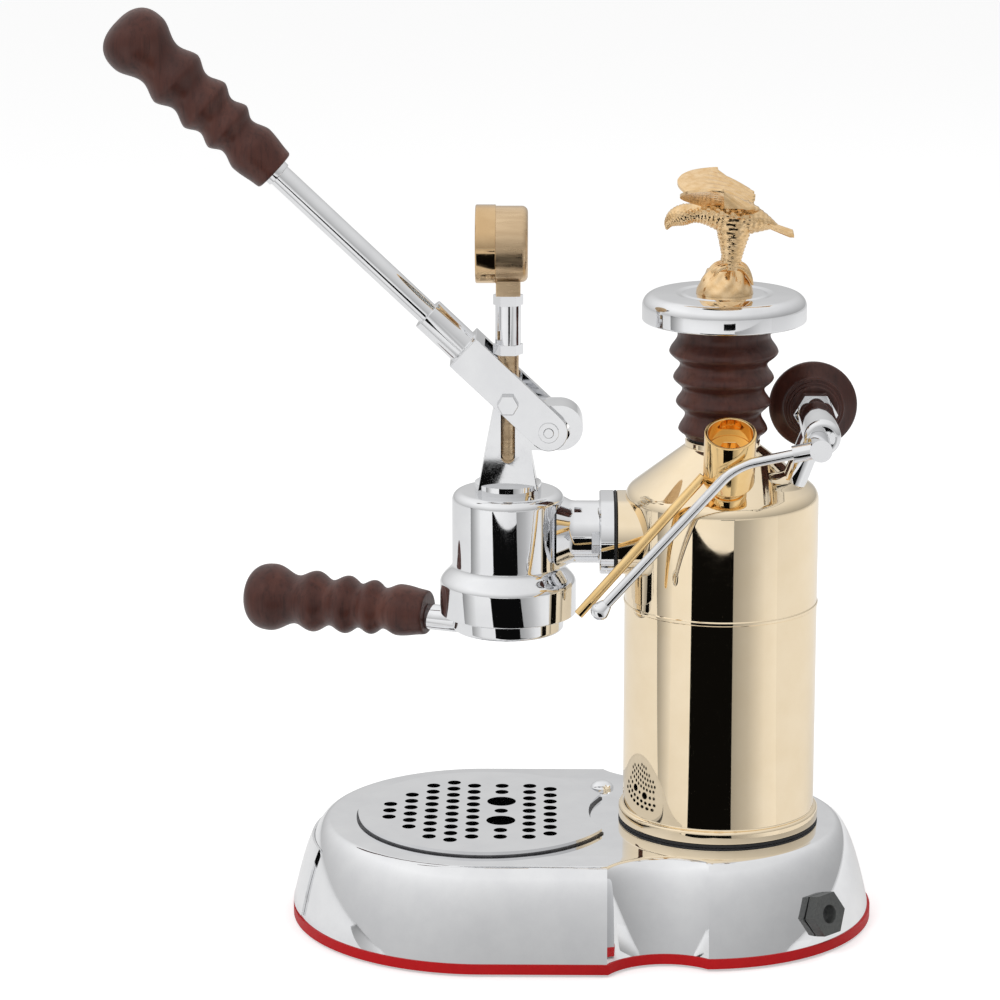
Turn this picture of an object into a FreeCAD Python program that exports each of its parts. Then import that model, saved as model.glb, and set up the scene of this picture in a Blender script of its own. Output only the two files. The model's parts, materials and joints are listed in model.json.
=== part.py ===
import FreeCAD, Part
import math
import operator
import os

import Sketcher

# A lever espresso machine, in millimetres: +X to the rear, +Y to the user's left, +Z up.
# The origin is on the floor, under the middle of the base.

os.makedirs("parts", exist_ok=True)
doc = FreeCAD.newDocument("LeverEspressoMachine")
vec = FreeCAD.Vector

sizes = {
    # feet, floor plate and trim
    "foot_height": 3.5,
    "foot_radius": 9.0,
    "foot_recess_radius": 4.4,
    "foot_recess_depth": 2.2,
    "screw_radius": 2.0,
    "screw_head_radius": 3.8,
    "screw_head_height": 1.7,
    "screw_length": 14.0,
    "floor_thickness": 1.5,
    "ground_gap": 1.5,
    "ledge_thickness": 1.5,
    "ledge_width": 2.4,
    "trim_proud": 1.0,
    "trim_lap": 1.0,
    # base shell
    "base_front_x": -49.0,
    "base_front_radius": 95.5,
    "base_rear_x": 58.0,
    "base_rear_radius": 87.0,
    "waist_x": 40.7,
    "waist_stand": 22.65,
    "waist_radius": 34.1,
    "base_height": 50.5,
    "wall_inset": 18.0,
    "base_wall": 2.0,
    "post_radius": 4.5,
    "front_post_reach": 69.5,
    "front_post_angle": 42.0,
    "rear_post_reach": 60.0,
    "rear_post_angle": 30.0,
    # bare front plate
    "badge_half_angle": 19.5,
    "badge_bottom": 8.0,
    "badge_top": 42.0,
    "badge_depth": 1.2,
    # cord gland, switch and pilot lamp
    "gland_azimuth": -45.0,
    "gland_height": 20.0,
    "gland_hex_radius": 11.5,
    "gland_hex_depth": 6.0,
    "gland_barrel_radius": 8.0,
    "gland_bore_radius": 4.6,
    "gland_barrel_length": 11.0,
    "gland_nut_depth": 5.0,
    "switch_x": -22.0,
    "switch_height": 26.0,
    "switch_long": 22.0,
    "switch_tall": 14.0,
    "switch_rim": 1.6,
    "switch_proud": 1.8,
    "switch_depth": 16.0,
    "switch_wall": 1.5,
    "rocker_half_long": 8.9,
    "rocker_tilt": 7.0,
    "rocker_pin_radius": 1.2,
    "rocker_axis_depth": 2.0,
    "rocker_drop": 2.0,
    "rocker_top": 3.2,
    "pilot_x": 11.0,
    "pilot_y": 46.0,
    "pilot_radius": 6.0,
    "pilot_dome": 4.2,
    "pilot_rim": 0.8,
    "pilot_stem_radius": 4.4,
    "pilot_stem_depth": 13.0,
    # drip tray and grille
    "tray_x": -48.0,
    "tray_radius": 64.5,
    "tray_notch_radius": 65.0,
    "tray_hole_inset": 2.0,
    "tray_play": 0.4,
    "tray_wall": 1.2,
    "tray_depth": 29.0,
    "tray_flange_lap": 0.8,
    "tray_flange_thickness": 0.8,
    "grille_thickness": 1.8,
    "grille_skirt_depth": 3.0,
    "grille_skirt_wall": 1.2,
    "grille_hole_radius": 3.4,
    "grille_big_radius": 7.3,
    "grille_pitch_x": 10.5,
    "grille_pitch_y": 10.2,
    "grille_big_x": -40.4,
    "grille_big_gap": 14.2,
    "grille_big_y": 15.3,
    # boiler
    "boiler_x": 68.7,
    "boiler_radius": 47.8,
    "boiler_wall": 1.5,
    "boiler_floor": 4.0,
    "boiler_foot_radius": 50.0,
    "boiler_foot_height": 6.5,
    "boiler_rise": 191.0,
    "boiler_gasket": 1.5,
    "spigot_radius": 20.0,
    "spigot_bore": 15.0,
    "spigot_depth": 16.5,
    "seam_rise": 112.0,
    "seam_width": 2.2,
    "seam_proud": 0.5,
    "shoulder_slope": 38.0,
    "shoulder_round": 8.0,
    "neck_radius": 18.5,
    "neck_bore": 12.0,
    "neck_height": 3.0,
    "lock_ring_radius": 31.0,
    "lock_ring_height": 8.0,
    "element_flange_radius": 22.0,
    "element_flange_height": 5.0,
    "element_rod_radius": 4.0,
    "element_spread": 9.0,
    "element_rise": 53.0,
    "glass_radius": 5.5,
    "glass_wall": 1.2,
    "glass_reach": 14.0,
    "glass_low_rise": 40.0,
    "glass_high_rise": 130.0,
    "glass_fitting_radius": 7.5,
    "glass_fitting_height": 16.0,
    "glass_arm_radius": 5.0,
    "pressure_switch_x": 42.0,
    "pressure_switch_y": 40.0,
    "pressure_switch_radius": 14.0,
    "pressure_switch_height": 22.0,
    # joint between the boiler and the group
    "port_rise": 146.5,
    "port_radius": 5.0,
    "flange_x": 8.25,
    "flange_thickness": 7.5,
    "flange_gasket": 0.8,
    "flange_half_height": 18.5,
    "flange_half_width": 28.0,
    "bolt_spread": 21.7,
    "bolt_radius": 3.0,
    "bolt_head_radius": 5.6,
    "bolt_head_height": 4.0,
    "bolt_bite": 6.0,
    "neck_pipe_radius": 15.5,
    # group
    "group_x": -37.0,
    "bell_drop": 41.0,
    "bell_radius": 33.8,
    "bell_skirt": 15.5,
    "bell_flare": 10.0,
    "bell_rise": 21.0,
    "bell_top_radius": 27.7,
    "bell_top_round": 4.5,
    "bell_roof": 7.5,
    "lip_bore": 28.3,
    "lip_height": 4.0,
    "lip_gap_angle": 44.0,
    "channel_radius": 30.7,
    "channel_height": 4.4,
    "group_seal_radius": 28.2,
    "group_seal_height": 5.0,
    "sleeve_radius": 22.0,
    "sleeve_wall": 2.7,
    "screen_thickness": 1.6,
    "screen_hole_radius": 1.1,
    "bush_radius": 9.0,
    # piston
    "rod_radius": 5.2,
    "rod_tail_radius": 4.0,
    "rod_tip_radius": 3.0,
    "rod_tip_length": 8.0,
    "rod_rise": 69.0,
    "piston_play": 0.5,
    "piston_drop": 25.2,
    "piston_height": 15.0,
    "piston_seal_height": 4.0,
    "piston_seal_depth": 2.7,
    "piston_seal_margin": 2.4,
    "running_fit": 0.05,
    "seat_gap": 0.3,
    # yoke
    "yoke_foot_radius": 16.5,
    "yoke_foot_height": 4.5,
    "tower_base_half": 15.0,
    "tower_top_half": 6.75,
    "tower_shoulder_rise": 44.5,
    "tower_rise": 54.5,
    "tower_half_depth": 10.0,
    "rod_slot_half": 3.5,
    "rod_slot_low_rise": 16.0,
    "rod_slot_high_rise": 51.5,
    "ear_x": -11.4,
    "ear_rise": 1.5,
    "ear_radius": 11.2,
    "ear_slot_half": 6.0,
    "ear_slot_front": -24.4,
    "ear_slot_rear": -6.4,
    # lever
    "lever_arm": 24.5,
    "lever_rest": 35.4,
    "lever_cant": 8.2,
    "fulcrum_rise": 32.3,
    "fork_half_width": 9.4,
    "fork_arm_gap": 0.4,
    "fork_arm": 3.6,
    "fork_web_start": 52.0,
    "fork_web": 6.0,
    "socket_radius": 8.5,
    "socket_length": 24.0,
    "socket_bore_depth": 20.0,
    "lever_rod_radius": 5.7,
    "grip_start": 184.0,
    "tang_radius": 4.0,
    "tang_length": 60.0,
    "ferrule_radius": 6.6,
    "ferrule_length": 3.0,
    "pivot_radius": 2.9,
    "pivot_head_radius": 5.3,
    "pivot_head_height": 4.0,
    "fulcrum_radius": 2.35,
    "clip_radius": 5.0,
    "clip_thickness": 1.0,
    "roller_radius": 5.4,
    # turned wooden grip, shared by the lever and the portafilter
    "grip_ball": 17.0,
    "grip_length": 105.0,
    # pressure gauge on the piston rod
    "stem_nut_radius": 7.4,
    "stem_nut_height": 5.0,
    "stem_tube_radius": 6.3,
    "stem_tube_length": 19.5,
    "gauge_block": 6.0,
    "gauge_block_height": 7.0,
    "gauge_radius": 18.6,
    "gauge_drop": 18.0,
    "gauge_back": 9.6,
    "gauge_front": 6.0,
    "gauge_wall": 1.4,
    "gauge_edge_round": 3.0,
    "bezel_radius": 19.2,
    "bezel_depth": 10.0,
    "bezel_lip": 2.6,
    "bezel_lip_depth": 1.2,
    "glass_disc": 1.5,
    "dial_thickness": 0.8,
    "dial_seat": 1.0,
    "needle_length": 13.0,
    "needle_tail": 5.0,
    "needle_half_width": 1.0,
    "needle_thickness": 0.6,
    "needle_stand": 1.4,
    "spindle_radius": 1.0,
    "movement_radius": 9.0,
    # filler cap
    "cap_gasket": 1.5,
    "cap_gasket_radius": 16.5,
    "cap_thread_gap": 0.1,
    "cap_thread_depth": 13.0,
    "cap_flange_radius": 15.5,
    "cap_flange_height": 3.0,
    "cap_stud_radius": 5.0,
    "cap_grip_length": 58.0,
    "cap_grip_radius": 26.8,
    "cap_plate_radius": 40.3,
    "cap_plate_height": 13.6,
    "cap_plate_round": 6.0,
    "cap_plate_wall": 3.0,
    "finial_scale": 1.0,
    # safety valve and relief pipe
    "safety_x": 70.0,
    "safety_offset": 38.4,
    "safety_tilt": 27.0,
    "safety_sink": 3.0,
    "safety_foot_radius": 9.0,
    "safety_foot_height": 2.5,
    "safety_neck_radius": 7.3,
    "safety_neck_height": 7.0,
    "safety_tube_radius": 12.5,
    "safety_tube_height": 31.0,
    "safety_tube_bore": 10.8,
    "safety_floor": 3.0,
    "safety_screw_drop": 10.0,
    "safety_screw_height": 8.0,
    "safety_socket_radius": 6.0,
    "relief_radius": 2.4,
    "relief_bore": 1.6,
    "relief_end_x": -2.4,
    "relief_end_y": -53.0,
    "relief_drop": 57.05,
    "relief_rise": 11.0,
    # steam valve, knob and wand
    "valve_x": 114.5,
    "valve_rise": 11.5,
    "valve_radius": 9.0,
    "valve_near": 50.0,
    "valve_far": 2.0,
    "valve_edge_round": 3.0,
    "valve_bore_depth": 30.0,
    "bonnet_radius": 11.0,
    "bonnet_length": 8.0,
    "stub_azimuth": -19.0,
    "stub_offset": 37.0,
    "stub_radius": 6.2,
    "stub_bore": 3.0,
    "stub_sink": 2.0,
    "spindle_bore": 3.5,
    "knob_radius": 22.0,
    "knob_neck_radius": 12.0,
    "knob_collar_radius": 15.0,
    "knob_length": 24.0,
    "knob_gap": 3.0,
    "swivel_x": 112.5,
    "swivel_drop": 1.7,
    "swivel_radius": 5.4,
    "swivel_shaft_radius": 3.5,
    "swivel_shaft_length": 6.0,
    "wand_clearance": 0.8,
    "wand_cross_rise": 17.0,
    "wand_radius": 2.5,
    "wand_bore": 1.5,
    "wand_collar_radius": 4.2,
    "wand_collar_length": 8.0,
    "wand_droop": 12.0,
    "wand_first_run": 41.0,
    "wand_second_run": 96.4,
    "wand_turn": 36.1,
    "wand_bend_radius": 30.0,
    "nozzle_radius": 4.6,
    # portafilter
    "handle_yaw": 20.0,
    "handle_drop": 4.9,
    "handle_radius": 6.5,
    "handle_neck_drop": 6.9,
    "handle_reach": 43.0,
    "holder_drop": 8.5,
    "holder_radius": 27.7,
    "holder_bore": 25.0,
    "holder_top_gap": 1.3,
    "lug_radius": 30.2,
    "lug_angle": 34.0,
    "unlock_angle": 40.0,
    "basket_wall": 0.7,
    "basket_rim": 27.4,
    "basket_rim_thickness": 1.0,
    "basket_depth": 15.5,
    "basket_play": 0.2,
    "basket_hole_radius": 1.0,
    "portafilter_grip_length": 99.0,
}

sheet = doc.addObject("Spreadsheet::Sheet", "Sizes")
for row, (alias, number) in enumerate(sizes.items(), start=1):
    sheet.set(f"A{row}", alias)
    sheet.set(f"B{row}", str(number))
    sheet.setAlias(f"B{row}", alias)
doc.recompute()


class Dim:
    """A size: its number now, and the sheet expression that gives it."""

    signs = {"+": operator.add, "-": operator.sub, "*": operator.mul, "/": operator.truediv}

    def __init__(self, number, text):
        self.number = number
        self.text = text

    def __add__(self, other):
        return combine(self, "+", other)

    def __radd__(self, other):
        return combine(other, "+", self)

    def __sub__(self, other):
        return combine(self, "-", other)

    def __rsub__(self, other):
        return combine(other, "-", self)

    def __mul__(self, other):
        return combine(self, "*", other)

    def __rmul__(self, other):
        return combine(other, "*", self)

    def __truediv__(self, other):
        return combine(self, "/", other)

    def __rtruediv__(self, other):
        return combine(other, "/", self)

    def __neg__(self):
        return combine(0, "-", self)


def dim(value):
    return value if isinstance(value, Dim) else Dim(float(value), f"({float(value)!r})")


def combine(first, sign, second):
    first = dim(first)
    second = dim(second)
    return Dim(Dim.signs[sign](first.number, second.number), f"({first.text} {sign} {second.text})")


def root(value):
    return Dim(math.sqrt(value.number), f"sqrt({value.text})")


def sine(degrees):
    degrees = dim(degrees)
    return Dim(math.sin(math.radians(degrees.number)), f"sin({degrees.text})")


def cosine(degrees):
    degrees = dim(degrees)
    return Dim(math.cos(math.radians(degrees.number)), f"cos({degrees.text})")


def tangent(degrees):
    degrees = dim(degrees)
    return Dim(math.tan(math.radians(degrees.number)), f"tan({degrees.text})")


class SizeTable:
    """Gives each cell of the sheet as a Dim, by its alias."""

    def __getattr__(self, alias):
        return Dim(float(sizes[alias]), f"Sizes.{alias}")


s = SizeTable()


class Arc:
    """A round stretch to the next point of an outline, shorter than a half circle."""

    def __init__(self, radius, turn="left"):
        self.radius = dim(radius)
        self.turn = turn


class Ring:
    """A whole circle in a sketch."""

    def __init__(self, x, y, radius):
        self.x = dim(x)
        self.y = dim(y)
        self.radius = dim(radius)


nodes = []


def bind(item, path, value):
    item.setExpression(path, dim(value).text)


def new_body(label, at=(0, 0, 0), turn=None):
    """Starts a sub-part at a point, turned by a rotation or by an (axis, angle) pair."""
    body = doc.addObject("PartDesign::Body", label)
    body.Label = label
    if isinstance(turn, tuple):
        axis, angle = turn
        body.Placement = FreeCAD.Placement(vec(0, 0, 0), FreeCAD.Rotation(axis, angle.number))
        bind(body, "Placement.Rotation.Angle", angle)
    elif turn is not None:
        body.Placement = FreeCAD.Placement(vec(0, 0, 0), turn)
    for axis, value in zip("xyz", at):
        bind(body, f"Placement.Base.{axis}", value)
    nodes.append(body)
    return body


def numbers(point):
    return vec(dim(point[0]).number, dim(point[1]).number, 0)


def add_ring(sketch, ring):
    circle = Part.Circle(vec(ring.x.number, ring.y.number, 0), vec(0, 0, 1), ring.radius.number)
    edge = sketch.addGeometry(circle)
    rules = [("DistanceX", ring.x), ("DistanceY", ring.y)]
    marks = [Sketcher.Constraint(kind, -1, 1, edge, 3, value.number) for kind, value in rules]
    marks.append(Sketcher.Constraint("Radius", edge, ring.radius.number))
    for index, value in zip(sketch.addConstraint(marks), (ring.x, ring.y, ring.radius)):
        bind(sketch, f"Constraints[{index}]", value)


def arc_edge(start, end, arc):
    chord = end - start
    half = chord.Length / 2
    side = 1 if arc.turn == "left" else -1
    normal = vec(-chord.y, chord.x, 0).normalize()
    rise = math.sqrt(max(arc.radius.number ** 2 - half ** 2, 0))
    centre = (start + end) / 2 + normal * (side * rise)
    first, last = (start, end) if side > 0 else (end, start)
    angles = [math.atan2(p.y - centre.y, p.x - centre.x) for p in (first, last)]
    if angles[1] < angles[0]:
        angles[1] += 2 * math.pi
    circle = Part.Circle(centre, vec(0, 0, 1), arc.radius.number)
    return Part.ArcOfCircle(circle, angles[0], angles[1])


def add_outline(sketch, outline, closed=True):
    points = []
    arcs = {}
    for entry in outline:
        if isinstance(entry, Arc):
            arcs[len(points) - 1] = entry
        else:
            points.append((dim(entry[0]), dim(entry[1])))
    count = len(points) if closed else len(points) - 1
    first_edge = sketch.GeometryCount
    edges = []
    ends = []
    for index in range(count):
        start = numbers(points[index])
        end = numbers(points[(index + 1) % len(points)])
        if index in arcs:
            edges.append(arc_edge(start, end, arcs[index]))
            ends.append((1, 2) if arcs[index].turn == "left" else (2, 1))
        else:
            edges.append(Part.LineSegment(start, end))
            ends.append((1, 2))
    sketch.addGeometry(edges)
    marks = []
    values = []
    for index in range(count):
        edge = first_edge + index
        follower = (index + 1) % count
        if closed or follower:
            marks.append(Sketcher.Constraint("Coincident", edge, ends[index][1],
                                             first_edge + follower, ends[follower][0]))
            values.append(None)
        if index in arcs:
            marks.append(Sketcher.Constraint("Radius", edge, arcs[index].radius.number))
            values.append(arcs[index].radius)
    for index, (x, y) in enumerate(points):
        edge, end = (index, 0) if index < count else (index - 1, 1)
        for kind, value in (("DistanceX", x), ("DistanceY", y)):
            marks.append(Sketcher.Constraint(kind, -1, 1, first_edge + edge, ends[edge][end], value.number))
            values.append(value)
    for index, value in zip(sketch.addConstraint(marks), values):
        if value is not None:
            bind(sketch, f"Constraints[{index}]", value)


def draw(body, name, loops, plane="XY_Plane", lift=0, offset=None, closed=True):
    sketch = body.newObject("Sketcher::SketchObject", f"{body.Name}_{name}_sketch")
    support = next(item for item in body.Origin.OriginFeatures if item.Role == plane)
    sketch.AttachmentSupport = [(support, "")]
    sketch.MapMode = "FlatFace"
    if offset is not None:
        sketch.AttachmentOffset = offset
    else:
        bind(sketch, "AttachmentOffset.Base.z", lift)
    for loop in loops:
        if isinstance(loop, Ring):
            add_ring(sketch, loop)
        else:
            add_outline(sketch, loop, closed)
    return sketch


def add(body, name, loops, start, end, plane="XY_Plane"):
    """Pads loops from start to end along the plane's normal: +Z, -Y or +X."""
    feature = body.newObject("PartDesign::Pad", f"{body.Name}_{name}")
    feature.Profile = draw(body, name, loops, plane, start)
    bind(feature, "Length", dim(end) - start)
    return feature


def cut(body, name, loops, start, end, plane="XY_Plane"):
    """Cuts loops away between start and end along the plane's normal: +Z, -Y or +X."""
    feature = body.newObject("PartDesign::Pocket", f"{body.Name}_{name}")
    feature.Profile = draw(body, name, loops, plane, end)
    bind(feature, "Length", dim(end) - start)
    return feature


def cut_along(body, name, loops, depth, offset):
    """Cuts loops away over depth, against the normal of a sketch placed by offset."""
    feature = body.newObject("PartDesign::Pocket", f"{body.Name}_{name}")
    feature.Profile = draw(body, name, loops, offset=offset)
    bind(feature, "Length", depth)
    return feature


def turn_solid(body, name, outline, kind="PartDesign::Revolution"):
    """Turns an outline of (radius, height) points about the body's own Z axis."""
    feature = body.newObject(kind, f"{body.Name}_{name}")
    sketch = draw(body, name, [outline], "XZ_Plane")
    feature.Profile = sketch
    feature.ReferenceAxis = (sketch, ["V_Axis"])
    feature.Angle = 360
    return feature


def turn_hollow(body, name, outline):
    return turn_solid(body, name, outline, "PartDesign::Groove")


def turned(label, outline, at=(0, 0, 0), turn=None):
    body = new_body(label, at, turn)
    turn_solid(body, "profile", outline)
    return body


def loft(body, name, sections, kind="PartDesign::AdditiveLoft"):
    """Joins flat outlines, given as (height, outline) pairs, with straight flanks."""
    feature = body.newObject(kind, f"{body.Name}_{name}")
    drawn = [draw(body, f"{name}{index}", [outline], lift=height)
             for index, (height, outline) in enumerate(sections)]
    feature.Profile = drawn[0]
    feature.Sections = drawn[1:]
    feature.Ruled = True
    return feature


def sweep(body, name, rings, ring_plane, ring_lift, path):
    """Carries rings, drawn at the start of a path in the XZ plane, along that path."""
    feature = body.newObject("PartDesign::AdditivePipe", f"{body.Name}_{name}")
    feature.Profile = draw(body, f"{name}_rings", rings, ring_plane, ring_lift)
    spine = draw(body, f"{name}_path", [path], "XZ_Plane", closed=False)
    doc.recompute()
    feature.Spine = (spine, [f"Edge{index + 1}" for index in range(len(spine.Shape.Edges))])
    return feature


def tube_outline(inner, outer, bottom, top):
    return [(inner, bottom), (outer, bottom), (outer, top), (inner, top)]


def hexagon(corner_radius, x=0, y=0):
    return [(x + corner_radius * cosine(60 * k), y + corner_radius * sine(60 * k)) for k in range(6)]


def rectangle(left, bottom, right, top):
    return [(left, bottom), (right, bottom), (right, top), (left, top)]


def oblong(x, y, half_length, radius):
    """A slot outline along x, with round ends about two points half_length from the middle."""
    return [(x - half_length, y - radius), (x + half_length, y - radius), Arc(radius),
            (x + half_length + radius, y), Arc(radius), (x + half_length, y + radius),
            (x - half_length, y + radius), Arc(radius), (x - half_length - radius, y), Arc(radius)]


def sector(inner, outer, middle, width):
    """A ring's sector, width degrees wide about the direction middle."""
    low = middle - width / 2
    high = middle + width / 2
    return [(inner * cosine(low), inner * sine(low)), (outer * cosine(low), outer * sine(low)), Arc(outer),
            (outer * cosine(high), outer * sine(high)), (inner * cosine(high), inner * sine(high)),
            Arc(inner, "right")]


def wave(extremes):
    """Joins (radius, height) extremes, each reached upright, with pairs of equal arcs."""
    outline = [extremes[0]]
    for (r0, z0), (r1, z1) in zip(extremes, extremes[1:]):
        rise = dim(z1) - z0
        step = dim(r1) - r0
        grows = step.number > 0
        radius = (rise * rise + step * step) / (4 * (step if grows else -step))
        turns = ("right", "left") if grows else ("left", "right")
        middle = ((dim(r0) + r1) / 2, (dim(z0) + z1) / 2)
        outline += [Arc(radius, turns[0]), middle, Arc(radius, turns[1]), (r1, z1)]
    return outline


# Heights and places that several pieces share

floor_bottom = s.foot_height
floor_top = floor_bottom + s.floor_thickness
shell_bottom = floor_top + s.ledge_thickness
roof_bottom = s.base_height - s.base_wall
tray_hang = s.base_height + s.tray_flange_thickness
boiler_seat = s.base_height + s.boiler_gasket
waist_middle = (s.base_front_radius + s.base_rear_radius) / 2 + s.waist_stand
spigot_bottom = s.base_height - s.spigot_depth
neck_base = boiler_seat + s.boiler_rise
neck_top = neck_base + s.neck_height
shoulder_edge = neck_base - (s.boiler_radius - s.neck_radius) * tangent(s.shoulder_slope)
port_height = boiler_seat + s.port_rise
bell_bottom = port_height - s.bell_drop
bell_top = port_height + s.bell_rise
piston_bottom = bell_top - s.piston_drop
rod_top = bell_top + s.rod_rise
tower_shoulder = bell_top + s.tower_shoulder_rise
tower_top = bell_top + s.tower_rise
rod_slot_bottom = bell_top + s.rod_slot_low_rise
rod_slot_top = bell_top + s.rod_slot_high_rise
fulcrum_height = bell_top + s.fulcrum_rise
holder_bottom = bell_bottom - s.holder_drop
handle_height = bell_bottom - s.handle_drop
handle_neck_height = bell_bottom - s.handle_neck_drop
glass_low = boiler_seat + s.glass_low_rise
glass_high = boiler_seat + s.glass_high_rise
element_top = boiler_seat + s.element_rise
valve_height = neck_top + s.valve_rise
swivel_height = valve_height - s.swivel_drop
flange_back = s.flange_x + s.flange_thickness
boss_face = flange_back + s.flange_gasket
lip_top = bell_bottom + s.lip_height
channel_top = lip_top + s.channel_height
seal_top = channel_top + s.group_seal_height
sleeve_top = bell_top - s.bell_roof
sleeve_bore = s.sleeve_radius - s.sleeve_wall
fulcrum_x = s.group_x + s.lever_arm * cosine(s.lever_rest)
pivot_height = fulcrum_height + s.lever_arm * sine(s.lever_rest)
lever_angle = s.lever_rest + s.lever_cant
cap_bottom = neck_top + s.cap_gasket
post_points = [(s.base_front_x - s.front_post_reach * cosine(s.front_post_angle),
                side * s.front_post_reach * sine(s.front_post_angle)) for side in (-1, 1)]
post_points += [(s.base_rear_x + s.rear_post_reach * cosine(s.rear_post_angle),
                 side * s.rear_post_reach * sine(s.rear_post_angle)) for side in (-1, 1)]


def cone_height(radius):
    """Height of the boiler's shoulder at a distance from the boiler's axis."""
    return neck_base - (radius - s.neck_radius) * tangent(s.shoulder_slope)


# Base

wall_steps = 6


def wall_station(step, wall=0):
    """Height and inset of the base wall, which leans in along a parabola, flat at the top."""
    share = 1 - step / wall_steps
    height = shell_bottom + (s.base_height - wall - shell_bottom) * (1 - share * share)
    return height, s.wall_inset * (step / wall_steps) + wall


def wall_inset(height):
    """Inset of the base wall's outside at a height."""
    height = dim(height)
    stations = [wall_station(step) for step in range(wall_steps + 1)]
    for (low, inset), (high, next_inset) in zip(stations, stations[1:]):
        if low.number <= height.number <= high.number:
            return inset + (next_inset - inset) * ((height - low) / (high - low))
    return s.wall_inset


def wall_lean(height):
    """Angle in degrees by which the base wall's outside leans back from upright."""
    step = 1.0
    lean = (wall_inset(dim(height) + step).number - wall_inset(dim(height) - step).number) / (2 * step)
    return math.degrees(math.atan(lean))


def footprint(inset, lean=0):
    """Outline of the base, set in by an even wall and by the wall's lean, which keeps the waist's width."""
    front = s.base_front_radius - inset - lean
    rear = s.base_rear_radius - inset - lean
    waist = s.waist_radius + inset
    waist_y = waist_middle - lean
    rise = waist_y - front
    corner_x = s.waist_x - root(waist * waist - rise * rise)
    dx = s.waist_x - s.base_rear_x
    dy = waist_y
    span = dx * dx + dy * dy
    along = (rear * rear - waist * waist + span) / (2 * span)
    across = root(rear * rear / span - along * along)
    crease_x = s.base_rear_x + along * dx + across * dy
    crease_y = along * dy - across * dx
    deep = waist_y - waist
    return [(s.base_front_x - front, 0), Arc(front), (s.base_front_x, -front), (corner_x, -front),
            Arc(waist, "right"), (s.waist_x, -deep), Arc(waist, "right"), (crease_x, -crease_y), Arc(rear),
            (s.base_rear_x + rear, 0), Arc(rear), (crease_x, crease_y), Arc(waist, "right"),
            (s.waist_x, deep), Arc(waist, "right"), (corner_x, front), (s.base_front_x, front), Arc(front)]


def tray_outline(inset):
    radius = s.tray_radius - inset
    notch = s.tray_notch_radius + inset
    gap = s.boiler_x - s.tray_x
    reach = (radius * radius - notch * notch + gap * gap) / (2 * gap)
    half = root(radius * radius - reach * reach)
    corner_x = s.tray_x + reach
    return [(s.tray_x - radius, 0), Arc(radius), (s.tray_x, -radius), Arc(radius), (corner_x, -half),
            Arc(notch, "right"), (corner_x, half), Arc(radius), (s.tray_x, radius), Arc(radius)]


def wall_frame(azimuth_direction, point_radius, centre_x, height):
    """Placement on the base wall's outside, with Z out along its normal."""
    lean = math.radians(wall_lean(height))
    x, y = azimuth_direction
    normal = vec(x * math.cos(lean), y * math.cos(lean), math.sin(lean))
    level = vec(-y, x, 0)
    upward = normal.cross(level)
    turn = FreeCAD.Rotation(level, upward, normal, "ZXY")
    place = vec(centre_x + point_radius * x, point_radius * y, dim(height).number)
    return FreeCAD.Placement(place, turn)


def gland_frame():
    azimuth = math.radians(s.gland_azimuth.number)
    radius = (s.base_rear_radius - wall_inset(s.gland_height)).number
    return wall_frame((math.cos(azimuth), math.sin(azimuth)), radius, s.base_rear_x.number, s.gland_height)


def wall_switch_frame():
    depth = (s.base_front_radius - wall_inset(s.switch_height)).number
    return wall_frame((0.0, 1.0), depth, s.switch_x.number, s.switch_height)


def switch_opening(grow):
    half_long = s.switch_long / 2 + grow
    half_tall = s.switch_tall / 2 + grow
    return rectangle(-half_long, -half_tall, half_long, half_tall)


def base_shell():
    body = new_body("base_shell")
    loft(body, "outside", [(h, footprint(0, lean)) for h, lean in map(wall_station, range(wall_steps + 1))])
    inner = [wall_station(step, s.base_wall) for step in range(wall_steps + 1)]
    sections = [(h, footprint(s.base_wall, inset - s.base_wall)) for h, inset in inner]
    loft(body, "inside", sections, "PartDesign::SubtractiveLoft")
    add(body, "posts", [Ring(x, y, s.post_radius) for x, y in post_points], floor_top,
        roof_bottom + s.base_wall / 2)
    thread = s.screw_radius + s.running_fit
    cut(body, "threads", [Ring(x, y, thread) for x, y in post_points], floor_top, floor_top + s.screw_length)
    top = s.base_height + 1
    cut(body, "tray_hole", [tray_outline(s.tray_hole_inset)], roof_bottom - 1, top)
    cut(body, "boiler_hole", [Ring(s.boiler_x, 0, s.spigot_radius + s.seat_gap)], roof_bottom - 1, top)
    cut(body, "pilot_hole", [Ring(s.pilot_x, s.pilot_y, s.pilot_stem_radius + s.seat_gap)], roof_bottom - 1, top)
    through = 4 * s.base_wall
    out = FreeCAD.Placement(vec(0, 0, s.base_wall.number), FreeCAD.Rotation())
    cut_along(body, "gland_hole", [Ring(0, 0, s.gland_barrel_radius + s.seat_gap)], through, gland_frame() * out)
    cut_along(body, "switch_hole", [switch_opening(s.seat_gap)], through, wall_switch_frame() * out)


def base_trim():
    body = new_body("base_trim")
    add(body, "band", [footprint(-s.trim_proud)], s.ground_gap, shell_bottom)
    cut(body, "recess", [footprint(s.trim_lap)], s.ground_gap - 1, floor_top)
    cut(body, "middle", [footprint(s.trim_lap + s.ledge_width)], s.ground_gap - 1, shell_bottom + 1)


def base_plate():
    body = new_body("base_plate")
    holes = [Ring(x, y, s.screw_radius + s.seat_gap) for x, y in post_points]
    add(body, "sheet", [footprint(s.trim_lap + s.seat_gap)] + holes, floor_bottom, floor_top)


def rubber_feet():
    body = new_body("rubber_feet")
    add(body, "pads", [Ring(x, y, s.foot_radius) for x, y in post_points + [(0, 0)]], 0, s.foot_height)
    cut(body, "recess", [Ring(x, y, s.foot_recess_radius) for x, y in post_points], -1, s.foot_recess_depth)
    holes = [Ring(x, y, s.screw_radius + s.seat_gap) for x, y in post_points]
    cut(body, "holes", holes, 0, s.foot_height + 1)


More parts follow.
